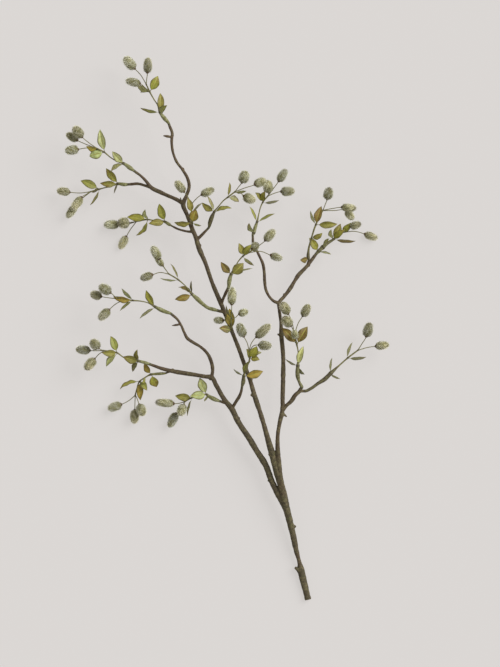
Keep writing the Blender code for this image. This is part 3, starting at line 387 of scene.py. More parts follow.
def readVertices(mesh, name):
    values = np.empty(len(mesh.vertices) * 3)
    mesh.vertices.foreach_get(name, values)
    return values.reshape(-1, 3)


def nearestOf(places):
    tree = KDTree(len(places))
    for index, place in enumerate(places):
        tree.insert(place, index)
    tree.balance()
    return tree


def applyModifier(piece, kind, **settings):
    modifier = piece.modifiers.new("shaped", kind)
    for name, value in settings.items():
        setattr(modifier, name, value)
    selectOnly(piece)
    bpy.ops.object.modifier_apply(modifier=modifier.name)


# A smooth line through the points, as rows of x, y, z and radius
def smoothRoute(points, step):
    rows = np.array([tuple(place) + (radius,) for place, radius in points])
    gaps = np.linalg.norm(np.diff(rows[:, :3], axis=0), axis=1)
    slopes = np.diff(rows, axis=0) / gaps[:, None]
    lean = np.empty_like(rows)
    lean[0], lean[-1] = slopes[0], slopes[-1]
    before, after = gaps[:-1, None], gaps[1:, None]
    lean[1:-1] = (slopes[:-1] * after + slopes[1:] * before) / (before + after)
    found = []
    for index, gap in enumerate(gaps):
        count = max(2, round(gap / step))
        t = np.arange(count)[:, None] / count
        found.append(
            (2 * t**3 - 3 * t**2 + 1) * rows[index] + (t**3 - 2 * t**2 + t) * lean[index] * gap
            + (3 * t**2 - 2 * t**3) * rows[index + 1] + (t**3 - t**2) * lean[index + 1] * gap)
    return np.concatenate(found + [rows[-1:]])


def lengths(samples):
    steps = np.linalg.norm(np.diff(samples[:, :3], axis=0), axis=1)
    return np.concatenate([[0.0], np.cumsum(steps)])


# Directions ahead, to the side and out along a route, without twist
def directions(samples):
    ahead = np.gradient(samples[:, :3], axis=0)
    ahead /= np.linalg.norm(ahead, axis=1)[:, None]
    current = np.cross(ahead[0], (0.0, 0.0, 1.0))
    if np.linalg.norm(current) < 0.01:
        current = np.array((1.0, 0.0, 0.0))
    sideways = np.empty_like(ahead)
    for index, direction in enumerate(ahead):
        current = current - direction * current.dot(direction)
        current = current / np.linalg.norm(current)
        sideways[index] = current
    return ahead, sideways, np.cross(ahead, sideways)


endBulge = 0.35     # a tube's ends are domed by this share of their radius


def tube(name, samples, sides, material, nodeShade=0.0):
    ahead, sideways, out = directions(samples)
    turns = np.arange(sides) * 2 * math.pi / sides
    rim = np.cos(turns)[None, :, None] * sideways[:, None] + np.sin(turns)[None, :, None] * out[:, None]
    rings = samples[:, None, :3] + rim * samples[:, None, 3:]
    ends = (
        samples[0, :3] - ahead[0] * samples[0, 3] * endBulge,
        samples[-1, :3] + ahead[-1] * samples[-1, 3] * endBulge)
    places = np.concatenate([rings.reshape(-1, 3), ends])
    count = len(samples)
    faces = []
    for row in range(count - 1):
        for k in range(sides):
            n = (k + 1) % sides
            faces.append((row * sides + k, row * sides + n, (row + 1) * sides + n, (row + 1) * sides + k))
    first, last, base = count * sides, count * sides + 1, (count - 1) * sides
    for k in range(sides):
        n = (k + 1) % sides
        faces.append((first, n, k))
        faces.append((last, base + k, base + n))
    piece = newPiece(name, places, faces, material)
    girth = np.append(np.repeat(samples[:, 3], sides), [samples[0, 3], samples[-1, 3]])
    setNumbers(piece.data, "girth", girth)
    shade = np.broadcast_to(nodeShade, (count,))
    setNumbers(piece.data, "nodeShade", np.append(np.repeat(shade, sides), [shade[0], shade[-1]]))
    return piece


insideBy = 2e-6


# Pulls what stands out of the solids' box back to its faces
def keepInside(piece):
    places = readVertices(piece.data, "co")
    low, high = np.array(cadLow) + insideBy, np.array(cadHigh) - insideBy
    low[2] = max(low[2], 0.0)
    piece.data.vertices.foreach_set("co", np.clip(places, low, high).ravel())


# A copy of a modelled shape with its own mesh, put in place there
def placedCopy(template, matrix):
    piece = template.copy()
    piece.data = template.data.copy()
    piece.data.transform(matrix)
    bpy.context.collection.objects.link(piece)
    return piece


def axesMatrix(x, y, z, origin):
    return Matrix.Translation(origin) @ Matrix((x, y, z)).transposed().to_4x4()


# The wood
bark = {
    "step": 0.0012,             # between rings of the rough tubes
    "sides": 14,
    "snagStep": 0.001,
    "scarStep": 0.0008,
    "smallSides": 10,           # of snags and scars
    "voxel": 0.00106,
    "skin": 0.00016,            # added to the radius, which the remesh and the cracks take off again
    "knobs": (0.09, 0.013, 7.3, 0.5),       # how much girth wanders, over what length, and rows of the noise
    "ripples": (0.06, 0.0048, 3.1, 7.5),    # and the same of the small ridges
    "fissure": 0.00022,         # depth of the cracks on the thickest wood
    "fissureLength": 0.0055,
    "fissureWidth": 0.0011,
    "crackOpen": 0.22,          # how much of the noise is crack
    "fullDepth": 0.0065,        # girth from which cracks are deepest
    "leastDepth": 0.3,
    "lumpLength": 0.0065,       # soft lumps, and fine wrinkles between them
    "lumpHeight": 0.00022,
    "wrinkleSize": (0.0016, 0.006, 0.006),
    "wrinkleHeight": 0.0001,
    "limbShift": 0.37,          # moves each limb on in the noise, so that no two are alike
    "cutInset": 0.0006,         # the saw cut, in from the solid's own end
    "cutEdge": math.radians(65),
    "snagLength": 0.86,         # a snag is blunt, so it ends short of its point
    "snagArch": 0.0004,
    "snagGirth": (0.95, 0.72, 0.5),     # at its root, middle and end
    "budGirth": (0.5, 0.85, 0.3),
    "buds": (5, 6),             # which of the snags are buds
    "scarHeight": 0.0016,       # how far a bud scar stands out
    "scarLength": 0.0042,       # and how far it lies up the limb
    "scarRadius": 0.0023,
    "scarShape": ((-0.1, 0.45, 0.8), (0.6, 0.95, 0.35)),    # height, length and girth of its middle and tip
}

# Limbs: each point is (x pixel, y pixel, height, radius), from the root outwards
limbs = {
    "leader": (
        (308.4, 601.0, 0.0061, 0.0065), (306.2, 592.0, 0.0062, 0.0066), (301.6, 573.0, 0.0085, 0.0072),
        (300.9, 569.6, 0.0092, 0.0069), (300.2, 566.0, 0.0100, 0.0050), (296.1, 550.0, 0.0130, 0.0055),
        (293.9, 539.0, 0.0160, 0.0060),
        (291.4, 528.0, 0.0190, 0.0063), (286.8, 510.0, 0.0250, 0.0073), (280.2, 482.0, 0.0340, 0.0074),
        (275.8, 468.0, 0.0390, 0.0067), (272.4, 455.0, 0.0430, 0.0065), (268.4, 441.0, 0.0480, 0.0056),
        (262.5, 420.0, 0.0550, 0.0044), (254.4, 395.0, 0.0620, 0.0050), (250.3, 381.0, 0.0650, 0.0042),
        (244.6, 365.0, 0.0680, 0.0041), (238.6, 348.0, 0.0700, 0.0042), (233.4, 335.0, 0.0710, 0.0041),
        (227.6, 320.0, 0.0720, 0.0039), (221.6, 305.0, 0.0715, 0.0046), (212.5, 283.5, 0.0690, 0.0040),
        (205.0, 262.0, 0.0660, 0.0043), (198.6, 247.0, 0.0630, 0.0050), (196.4, 239.0, 0.0610, 0.0046),
        (191.5, 227.0, 0.0580, 0.0044), (187.2, 215.0, 0.0550, 0.0040), (183.2, 204.0, 0.0525, 0.0049),
        (186.4, 196.0, 0.0535, 0.0034), (189.2, 186.0, 0.0560, 0.0034), (187.9, 179.3, 0.0585, 0.0032),
        (183.0, 170.5, 0.0620, 0.0028), (176.5, 161.6, 0.0650, 0.0026), (173.2, 153.0, 0.0670, 0.0026),
        (171.8, 141.0, 0.0680, 0.0029), (172.4, 134.0, 0.0680, 0.0030), (169.6, 126.0, 0.0675, 0.0027)),
    "left_limb": (
        (287.0, 511.0, 0.0250, 0.0058), (280.5, 499.0, 0.0265, 0.0062), (271.6, 481.0, 0.0280, 0.0061),
        (266.0, 466.0, 0.0300, 0.0064), (256.2, 450.2, 0.0320, 0.0058), (250.4, 440.4, 0.0335, 0.0060),
        (237.4, 420.4, 0.0360, 0.0055), (231.8, 409.0, 0.0370, 0.0057), (224.6, 400.0, 0.0380, 0.0047),
        (216.0, 385.0, 0.0385, 0.0044), (211.6, 377.5, 0.0385, 0.0047), (205.4, 376.6, 0.0380, 0.0041),
        (191.4, 374.3, 0.0370, 0.0043), (183.6, 373.1, 0.0370, 0.0045), (173.4, 371.4, 0.0370, 0.0041),
        (161.8, 368.6, 0.0375, 0.0034), (150.9, 364.7, 0.0380, 0.0029)),
    "right_limb": (
        (283.2, 493.0, 0.0330, 0.0046), (280.2, 475.0, 0.0390, 0.0050), (278.4, 459.0, 0.0430, 0.0050),
        (277.6, 447.0, 0.0470, 0.0047),
        (277.8, 435.0, 0.0500, 0.0040), (280.0, 421.0, 0.0530, 0.0041), (282.3, 411.0, 0.0540, 0.0046),
        (282.6, 398.0, 0.0540, 0.0045), (283.1, 378.0, 0.0530, 0.0046), (283.0, 353.0, 0.0510, 0.0042),
        (281.4, 336.0, 0.0490, 0.0045), (280.8, 321.0, 0.0470, 0.0034), (279.3, 310.0, 0.0450, 0.0032),
        (279.0, 303.0, 0.0440, 0.0036), (284.6, 296.0, 0.0400, 0.0034), (290.6, 287.9, 0.0370, 0.0041),
        (294.1, 282.0, 0.0350, 0.0036), (297.8, 276.0, 0.0330, 0.0042), (307.5, 265.5, 0.0290, 0.0035),
        (312.0, 259.5, 0.0270, 0.0033), (315.5, 254.8, 0.0250, 0.0030)),
    "upper_left_limb": (
        (211.6, 377.5, 0.0385, 0.0036), (212.6, 370.0, 0.0405, 0.0035), (211.0, 361.0, 0.0440, 0.0036),
        (207.0, 353.0, 0.0490, 0.0031), (200.3, 346.7, 0.0530, 0.0028), (193.0, 342.3, 0.0560, 0.0031),
        (187.6, 338.5, 0.0590, 0.0033), (184.4, 332.7, 0.0620, 0.0027), (180.8, 324.5, 0.0650, 0.0024),
        (177.2, 319.0, 0.0670, 0.0025), (172.5, 315.0, 0.0680, 0.0027)),
    "winding_limb": (
        (279.0, 303.0, 0.0440, 0.0032), (274.5, 301.5, 0.0460, 0.0032), (270.0, 297.5, 0.0490, 0.0027),
        (266.0, 290.0, 0.0520, 0.0029), (264.6, 281.0, 0.0540, 0.0031), (264.2, 272.0, 0.0540, 0.0030),
        (262.9, 264.0, 0.0530, 0.0030), (259.8, 257.0, 0.0520, 0.0027), (256.0, 249.0, 0.0500, 0.0024),
        (253.0, 242.0, 0.0490, 0.0026), (252.8, 237.0, 0.0485, 0.0024)),
    "crown_left_limb": (
        (183.2, 204.0, 0.0525, 0.0038), (177.5, 200.0, 0.0510, 0.0038), (169.0, 196.2, 0.0490, 0.0036),
        (160.0, 192.0, 0.0470, 0.0042), (151.3, 187.6, 0.0450, 0.0040), (145.6, 180.6, 0.0495, 0.0031),
        (141.0, 176.0, 0.0530, 0.0024), (135.3, 171.8, 0.0570, 0.0027)),
    "far_left_twig": (
        (151.3, 187.6, 0.0450, 0.0032), (145.0, 185.5, 0.0420, 0.0028), (138.5, 183.7, 0.0390, 0.0029),
        (129.7, 184.1, 0.0350, 0.0027)),
    "right_fork": (
        (282.3, 411.0, 0.0540, 0.0038), (286.0, 406.0, 0.0560, 0.0037), (291.5, 400.8, 0.0580, 0.0041),
        (295.2, 395.1, 0.0600, 0.0042), (299.4, 391.4, 0.0610, 0.0038)),
    "inner_twig": (
        (231.8, 409.0, 0.0370, 0.0036), (235.2, 403.0, 0.0430, 0.0033), (239.2, 396.6, 0.0500, 0.0032),
        (241.3, 391.0, 0.0580, 0.0027), (241.8, 388.0, 0.0630, 0.0026)),
    "crown_right_twig": (
        (196.8, 240.0, 0.0610, 0.0034), (203.0, 234.0, 0.0650, 0.0029), (207.3, 229.5, 0.0680, 0.0024)),
    "left_high_twig": (
        (193.5, 232.0, 0.0590, 0.0028), (188.0, 231.6, 0.0560, 0.0022), (182.0, 230.3, 0.0520, 0.0021),
        (177.0, 228.6, 0.0480, 0.0023), (172.8, 226.4, 0.0450, 0.0018)),
    "mid_right_twig": (
        (221.6, 305.0, 0.0715, 0.0026), (222.8, 300.0, 0.0750, 0.0028), (225.0, 295.0, 0.0800, 0.0029),
        (227.6, 289.5, 0.0850, 0.0030)),
    "mid_left_spur": ((224.4, 312.5, 0.0718, 0.0026), (219.0, 311.0, 0.0740, 0.0030)),
    "front_spur": ((233.4, 335.0, 0.0710, 0.0026), (232.6, 332.6, 0.0830, 0.0020)),
    "crown_inner_spur": ((191.5, 227.0, 0.0580, 0.0026), (192.3, 224.6, 0.0685, 0.0018)),
    "left_fork_spur": ((171.5, 370.7, 0.0370, 0.0026), (167.6, 372.4, 0.0345, 0.0019)),
    "left_low_spur": ((227.2, 403.6, 0.0375, 0.0028), (221.5, 401.8, 0.0370, 0.0026)),
    "right_upright_spur": ((299.0, 391.0, 0.0610, 0.0034), (300.8, 388.4, 0.0635, 0.0032)),
    "right_low_spur": ((299.0, 391.0, 0.0610, 0.0034), (303.4, 391.0, 0.0600, 0.0030)),
    "right_high_spur": ((307.5, 265.5, 0.0290, 0.0026), (308.3, 261.5, 0.0335, 0.0020)),
}

# Points of the long limbs that have a bud scar, on alternate sides
scarPoints = {
    "leader": (2, 7, 11, 15, 19, 23, 27, 31),
    "left_limb": (2, 6, 10, 14),
    "right_limb": (2, 10, 14, 18),
}

# Snags and dormant buds: root, tip, radius at the root
snags = (
    ((302.0, 573.5, 0.0090), (294.2, 567.4, 0.0130), 0.0058),
    ((282.6, 413.0, 0.0540), (287.2, 417.4, 0.0520), 0.0034),
    ((281.4, 336.0, 0.0490), (276.8, 333.8, 0.0510), 0.0034),
    ((255.0, 396.4, 0.0620), (250.0, 394.2, 0.0640), 0.0046),
    ((292.0, 529.0, 0.0190), (296.6, 526.2, 0.0220), 0.0040),
    ((171.9, 137.4, 0.0680), (161.8, 135.8, 0.0710), 0.0034),   # this and the next are plump buds
    ((180.8, 324.4, 0.0650), (170.6, 325.8, 0.0670), 0.0028),
    ((181.4, 203.0, 0.0530), (180.2, 196.8, 0.0590), 0.0026),
)


def swollen(wander, reach, order):
    much, length, row, start = wander
    return much * noise.noise((reach / length, order * row, start))


def roughWood():
    pieces, guide = [], []
    for order, (name, points) in enumerate(limbs.items()):
        line = route(points)
        samples = smoothRoute(line, bark["step"])
        along = lengths(samples)
        for row, reach in zip(samples, along):
            swell = 1 + swollen(bark["knobs"], reach, order) + swollen(bark["ripples"], reach, order)
            row[3] = row[3] * swell + bark["skin"]
        pieces.append(tube(name, samples, bark["sides"], willowBark))
        ahead, sideways, out = directions(samples)
        guide.append(np.column_stack([samples, along + order * bark["limbShift"], ahead, sideways, out]))
        pieces += budScars(line, scarPoints.get(name, ()))
    for order, (root, tip, radius) in enumerate(snags):
        start, end = at(*root), at(*tip)
        end = start.lerp(end, bark["snagLength"])
        middle = (start + end) / 2 + Vector((0.0, 0.0, bark["snagArch"]))
        girths = bark["budGirth"] if order in bark["buds"] else bark["snagGirth"]
        points = [(place, radius * girth) for place, girth in zip((start, middle, end), girths)]
        pieces.append(tube("snag", smoothRoute(points, bark["snagStep"]), bark["smallSides"], willowBark))
    return pieces, np.concatenate(guide)


# Bud scars stand on alternate sides of the long limbs
def budScars(line, points):
    scars = []
    for order, index in enumerate(points):
        place, radius = line[index]
        along = (line[index + 1][0] - place).normalized()
        side = along.cross(Vector((0.0, 0.0, 1.0))).normalized()
        if order % 2 == 0:
            side = -side
        points = [(place + side * radius * 0.5, bark["scarRadius"])]
        for high, far, girth in bark["scarShape"]:
            stand = place + side * (radius + bark["scarHeight"] * high) + along * bark["scarLength"] * far
            points.append((stand, bark["scarRadius"] * girth))
        scars.append(tube("scar", smoothRoute(points, bark["scarStep"]), bark["smallSides"], willowBark))
    return scars


def buildBark():
    pieces, guide = roughWood()
    wood = joined(pieces, "bark")
    applyModifier(wood, "REMESH", mode="VOXEL", voxel_size=bark["voxel"])
    mesh = wood.data
    for field in list(mesh.attributes):
        if field.name in ("girth", "nodeShade"):
            mesh.attributes.remove(field)
    nearest = nearestOf(guide[:, :3])
    places, normals = readVertices(mesh, "co"), readVertices(mesh, "normal")
    found = guide[[nearest.find(place)[1] for place in places]]
    apart = places - found[:, :3]
    along = found[:, 4] + np.sum(apart * found[:, 5:8], axis=1)
    sideways = np.sum(apart * found[:, 8:11], axis=1)
    out = np.sum(apart * found[:, 11:14], axis=1)
    reach = np.maximum(np.hypot(sideways, out), 1e-6)
    girth = found[:, 3]
    grain = np.column_stack([along, sideways / reach * girth, out / reach * girth])
    size = np.array((bark["fissureLength"], bark["fissureWidth"], bark["fissureWidth"]))
    crack = np.array([noise.noise(row) for row in grain / size])
    lump = np.array([noise.noise(row) for row in grain / bark["lumpLength"]])
    wrinkle = np.array([noise.noise(row) for row in grain / bark["wrinkleSize"]])
    depth = np.clip(girth / bark["fullDepth"], bark["leastDepth"], 1.0)
    shift = depth * (
        -bark["fissure"] * np.clip(1 - np.abs(crack) / bark["crackOpen"], 0, 1)
        + bark["lumpHeight"] * lump + bark["wrinkleHeight"] * wrinkle)
    places += normals * shift[:, None]
    places[:, 2] = np.maximum(places[:, 2], 0.0)
    mesh.vertices.foreach_set("co", places.ravel())
    setVectors(mesh, "grain", grain)
    setNumbers(mesh, "girth", girth)
    mesh.materials.clear()
    mesh.materials.append(willowBark)
    mesh.materials.append(sawnWillow)
    sawEnd(wood)
    return wood


# The cut end, square to the stub, with its own face of end grain
def sawEnd(wood):
    line = route(limbs["leader"][:2])
    outward = (line[0][0] - line[1][0]).normalized()
    selectOnly(wood)
    bpy.ops.object.mode_set(mode="EDIT")
    bpy.ops.mesh.select_all(action="SELECT")
    bpy.ops.mesh.bisect(
        plane_co=line[0][0] - outward * bark["cutInset"], plane_no=outward, use_fill=True, clear_outer=True)
    wood.active_material_index = 1
    bpy.ops.object.material_slot_assign()
    bpy.ops.mesh.select_all(action="DESELECT")
    bpy.ops.object.mode_set(mode="OBJECT")
    bpy.ops.object.shade_smooth_by_angle(angle=bark["cutEdge"])


leafSize = {
    "models": 4,
    "seed": 100,
    "length": 0.036,            # stalk and blade
    "halfWidth": 0.006,
    "blunt": 0.85,              # 1 is the curve of a sine, less is blunter
    "bladeStart": 0.15,         # share of the length that is bare stalk
    "fold": 0.34,
    "bow": 0.10,
    "wave": 0.0008,
    "waveTurns": 13,
    "lobe": 0.05,               # how unlike the two halves are
    "lobeTurns": 5.3,
    "lobeShift": 1.6,
    "toothCount": 12.5,
    "toothMiddle": 0.4,
    "groove": 0.00035,          # over the rib
    "grooveWidth": 0.25,
    "droop": 0.0012,            # of the last fifth
    "droopFrom": 0.8,
    "droopLength": 0.2,
    "narrowest": 0.0004,
    "ribSteps": 16,
    "ribSides": 6,
    "ribEnd": 0.93,
    "ribRadius": 0.00056,
    "ribTaper": 0.00044,
    "ribSunk": 0.00055,
    "stalkShade": 0.1,
    "rootsInTurn": 3,           # every third leaf starts next to its node again
    "shades": (0.88, 1.12),     # how light or dark each leaf is
    "tints": (0.95, 1.05),      # and how far off in each of red, green and blue
    "rustTones": ("mustard", "rusty", "brown"),     # leaves of these tones rust most
    "leastRust": 0.45,
    "rustRarity": 2.6,
    "plump": 1.12,              # a blade is this much fuller than its outline's corners
    "teeth": 0.075,
    "thickness": 0.00032,
    "along": 26,
    "across": 10,
    "trueWidthPixels": 6.0,     # a blade that looks narrower is seen edge on
    "tilt": math.radians(12),
    "edgeWidthPixels": 3.0,     # up to this width a leaf is edge on and looks straight
    "edgeFlat": 0.35,
    "rootSpacing": 0.0008,      # leaves and stalks of one node start this far apart
}

# Leaf tones, as the eye names them
tones = {
    "lime": "8F8E2C",
    "green": "868A3C",
    "pale": "BEC387",
    "olive": "7C7530",
    "mustard": "9C8328",
    "rusty": "8A6A2A",
    "brown": "6B5027",
    "dark": "4E4B2A",
    "grey": "83856A",
}


def bladeWidth(t):
    blunt = leafSize["blunt"]
    return max(0.0, math.sin(math.pi * min(1.0, t) ** blunt)) ** blunt


# Height of the arch that a leaf makes from root to tip
def bowed(share):
    return leafSize["bow"] * leafSize["length"] * 4 * share * (1 - share)


def leafTemplate(variant):
    size = leafSize
    draw = random.Random(size["seed"] + variant)
    phases = [draw.uniform(0, fullTurn) for _ in range(3)]
    bpy.ops.mesh.primitive_grid_add(x_subdivisions=size["along"], y_subdivisions=size["across"], size=1)
    blade = bpy.context.object
    length, half = size["length"], size["halfWidth"]
    for vertex in blade.data.vertices:
        t, s = vertex.co.x + 0.5, vertex.co.y * 2
        share = size["bladeStart"] + (1 - size["bladeStart"]) * t
        full = bladeWidth(t)
        lobed = math.sin(size["lobeTurns"] * t + phases[0] + (size["lobeShift"] if s > 0 else 0))
        wide = full * (1 + size["lobe"] * lobed)
        if abs(s) > 0.99:   # the edge
            tooth = (t * size["toothCount"] + phases[1] + (0.5 if s > 0 else 0)) % 1.0
            wide *= 1 + size["teeth"] * (tooth - size["toothMiddle"])
        hollow = -size["groove"] * max(0.0, 1 - abs(s) / size["grooveWidth"]) * full
        wave = math.sin(t * size["waveTurns"] + phases[2] * (1 if s > 0 else 2))
        edge = size["wave"] * abs(s) ** 1.5 * wave
        arch = bowed(share) + abs(s) * full * half * size["fold"]
        droop = -size["droop"] * max(0.0, t - size["droopFrom"]) / size["droopLength"]
        high = arch + hollow + edge * full + droop
        vertex.co = (share * length, s * max(wide * half, size["narrowest"]), high)
    blade.data.materials.append(leafTop)
    blade.data.materials.append(leafUnderside)
    applyModifier(
        blade, "SOLIDIFY", thickness=size["thickness"], offset=-1.0, material_offset=1, material_offset_rim=1)
    bpy.ops.object.shade_smooth()
    rib = []
    for step in range(size["ribSteps"] + 1):
        share = step / size["ribSteps"] * size["ribEnd"]
        radius = size["ribRadius"] - size["ribTaper"] * share / size["ribEnd"]
        sunk = 0.0 if share < size["bladeStart"] else size["ribSunk"]
        rib.append((share * length, 0.0, bowed(share) - sunk, radius))
    stalk = tube("stalk", np.array(rib), size["ribSides"], shootSkin, nodeShade=size["stalkShade"])
    return joined([blade, stalk], "leafModel")


# Axes of a leaf: along it, across it and out of its upper face, turned about its length
def leafAxes(along, turn):
    forward = along.normalized()
    out = Vector((0.0, 0.0, 1.0))
    out = (out - forward * out.dot(forward)).normalized()
    out = Matrix.Rotation(turn, 3, forward) @ out
    return forward, forward.cross(out), out


# How far a tip stands off the level of its root, when its true length is known
def rise(reach, levelDistance):
    return math.sqrt(max(0.0, reach * reach - levelDistance * levelDistance))


def placedLeaf(template, root, tip, half, turn, flat, tone, draw):
    forward, across, out = leafAxes(tip - root, turn)
    stretch = (tip - root).length / leafSize["length"]
    widen = half * leafSize["plump"] / leafSize["halfWidth"]
    piece = placedCopy(template, axesMatrix(forward * stretch, across * widen, out * stretch * flat, root))
    shade = draw.uniform(*leafSize["shades"])
    colour = [part * shade * draw.uniform(*leafSize["tints"]) for part in hexLinear(tones[tone])[:3]] + [1.0]
    rusty = 1.0 if tone in leafSize["rustTones"] else leafSize["leastRust"]
    setNumbers(piece.data, "rust", draw.random() ** leafSize["rustRarity"] * rusty)
    field = piece.data.attributes.new("leafTone", "FLOAT_COLOR", "POINT")
    field.data.foreach_set("color", np.tile(np.array(colour, dtype=np.float32), len(piece.data.vertices)))
    return piece


catkinSize = {
    "models": 3,
    "seed": 40,
    "length": 0.028,
    "radius": 0.0085,           # with its down
    "slope": 0.5,
    "egg": 0.06,                # fuller towards the stalk
    "blunt": 2.5,               # 2 is an ellipse, more is blunter
    "core": 0.74,               # the flowering axis, to the whole
    "coreSides": 24,
    "coreRings": 17,
    "coreLength": 0.85,
    "coreShift": 0.10,          # towards the stalk
    "coreSlant": 0.9,           # how blunt the ends are, for what stands on them
    "flowerHeight": 0.0009,     # each flower lifts the core this much
    "flowerRoom": 0.17,         # as far round its seat as this
    "bracts": 90,
    "bractLength": 0.0036,
    "bractWidth": 0.0021,
    "bractUp": 0.85,
    "bractOut": (0.35, 0.65),
    "bractSizes": (0.8, 1.2),
    "bractMiddle": 0.45,
    "bractArch": 0.0003,
    "bractRoom": 0.99,          # how far out its tip may stand, to the catkin's outline
    "hairs": 2250,
    "hairLength": 0.0056,
    "hairWidth": 0.00021,
    "hairWaist": 0.9,           # its width half way, to that at the root
    "hairTip": 0.4,             # and at the tip
    "hairSizes": (0.55, 1.0),
    "hairSunk": 0.0002,
    "hairOut": (0.8, 1.3),
    "hairUp": 0.4,
    "hairWander": 0.22,
    "hairSweep": 0.35,          # how far tips lean towards the catkin's tip
    "hairTurn": (0.8, 0.3, 0.45),   # ribbons face out, up and any way, in these shares
    "seatWander": 0.03,         # how far hairs stray from even rows
    "bareFoot": -0.94,          # no down below this, where the husk is
    "hairRoom": 0.97,           # how far out its middle may stand
    "haze": 1.32,               # how far out the longest hairs may stand
    "hazeDepth": 0.56,
    "paleFrom": 0.72,           # hairs are pale from half way
    "noiseSpan": 50,            # models read the noise this far apart
    "tuftScale": 1.7,           # tufts to the catkin's radius
    "tuftShare": 0.12,          # a higher share leaves fewer of them olive
    "tuftSoft": 0.3,
    "brownTips": (3.2, 2.3),    # about a quarter of the catkins have them
    "stalkRadius": 0.00085,
    "stalkGirths": (1.15, 1.0, 1.1, 1.4),   # at its root, its bend, the catkin's foot and inside it
    "stalkSunk": 0.005,
    "stalkStep": 0.0016,
    "stalkSides": 7,
    "stalkShade": 0.15,
}

# How bright a catkin's core and hair roots stay under the tips of its down: painted shade inside the down,
# deeper on some catkins than on others
shadeUnderDown = {"dusky": 0.3, "olive": 0.55, "grey": 0.85, "silver": 1.0}


# Directions spread evenly over a ball, as scales are on a catkin
def spiral(count):
    index = np.arange(count) + 0.5
    height = 1 - 2 * index / count
    turn = index * math.pi * (3 - math.sqrt(5))
    level = np.sqrt(1 - height**2)
    return np.column_stack([level * np.cos(turn), level * np.sin(turn), height])


# How far out a place is, from 0 in the middle of a blunt oval to 1 on it
def farOut(level, high):
    blunt = catkinSize["blunt"]
    return (np.abs(level) ** blunt + np.abs(high) ** blunt) ** (1 / blunt)


# From a direction to the place on the catkin's core, and which way is out and towards the tip
def onCore(ball):
    size = catkinSize
    radius, half = size["radius"], size["length"] / 2
    full = ball / farOut(np.linalg.norm(ball[:, :2], axis=1), ball[:, 2])[:, None]
    girth = radius * size["core"] * (1 - size["egg"] * full[:, 2:])
    high = (full[:, 2] * size["coreLength"] - size["coreShift"]) * half
    places = np.column_stack([full[:, :2] * girth, high])
    out = np.column_stack([ball[:, :2] / (radius * size["core"]), ball[:, 2] / (half * size["coreSlant"])])
    out /= np.linalg.norm(out, axis=1)[:, None]
    up = np.array((0.0, 0.0, 1.0)) - out * out[:, 2:]
    up /= np.maximum(np.linalg.norm(up, axis=1)[:, None], 0.05)    # no way is up at the very ends
    return places, out, up


# Pulls what stands out of the catkin's whole outline back to it
def insideOutline(places, slack):
    size = catkinSize
    half = size["length"] / 2
    high = places[:, 2] / half
    girth = size["radius"] * (1 - size["egg"] * np.clip(high, -1, 1))
    over = farOut(np.hypot(places[:, 0], places[:, 1]) / girth, high)
    return places * np.minimum(1.0, slack / over)[:, None]


# The down stands in pale and in olive tufts, from 0 to 1
def tuftShade(ball, spot):
    found = [noise.noise(Vector(place) * catkinSize["tuftScale"] + spot) for place in ball]
    return np.clip(0.5 + (np.array(found) - catkinSize["tuftShare"]) / catkinSize["tuftSoft"], 0, 1)


def catkinTemplate(variant):
    size = catkinSize
    draw = np.random.default_rng(size["seed"] + variant)
    spot = Vector(draw.uniform(0, size["noiseSpan"], 3))
    seats = spiral(size["bracts"])
    nearest = nearestOf(seats)
    bpy.ops.mesh.primitive_uv_sphere_add(segments=size["coreSides"], ring_count=size["coreRings"], radius=1)
    core = bpy.context.object
    ball = np.array([vertex.co for vertex in core.data.vertices])
    gap = np.array([nearest.find(place)[2] for place in ball])
    raised = np.clip(1 - gap / size["flowerRoom"], 0, 1)
    places, out, _ = onCore(ball)
    places += out * (raised * size["flowerHeight"])[:, None]
    core.data.vertices.foreach_set("co", places.ravel())
    core.data.materials.append(catkinCore)
    setNumbers(core.data, "reach", raised)
    setNumbers(core.data, "tuft", tuftShade(ball, spot))
    setNumbers(core.data, "towardsTip", places[:, 2] / (size["length"] / 2))
    selectOnly(core)
    bpy.ops.object.shade_smooth()
    return joined([core, bracts(seats, draw, spot), down(draw, spot)], "catkinModel")


def bracts(seats, draw, spot):
    size = catkinSize
    places, out, up = onCore(seats)
    reach = up * size["bractUp"] + out * draw.uniform(*size["bractOut"], (len(seats), 1))
    reach /= np.linalg.norm(reach, axis=1)[:, None]
    across = np.cross(reach, out)
    across /= np.linalg.norm(across, axis=1)[:, None]
    length = size["bractLength"] * draw.uniform(*size["bractSizes"], (len(seats), 1))
    middle = places + reach * length * size["bractMiddle"] + out * size["bractArch"]
    shift = across * size["bractWidth"] / 2
    tip = insideOutline(places + reach * length, size["bractRoom"])
    corners = np.stack([places, middle - shift, tip, middle + shift], axis=1)
    faces = []
    for index in range(len(seats)):
        a = index * 4
        faces += [(a, a + 2, a + 1), (a, a + 3, a + 2)]
    piece = newPiece("bracts", corners.reshape(-1, 3), faces, catkinBract)
    setNumbers(piece.data, "reach", np.tile((0.0, 0.5, 1.0, 0.5), len(seats)))
    setNumbers(piece.data, "tuft", np.repeat(tuftShade(seats, spot), 4))
    setNumbers(piece.data, "towardsTip", corners[:, :, 2] / (size["length"] / 2))
    return piece


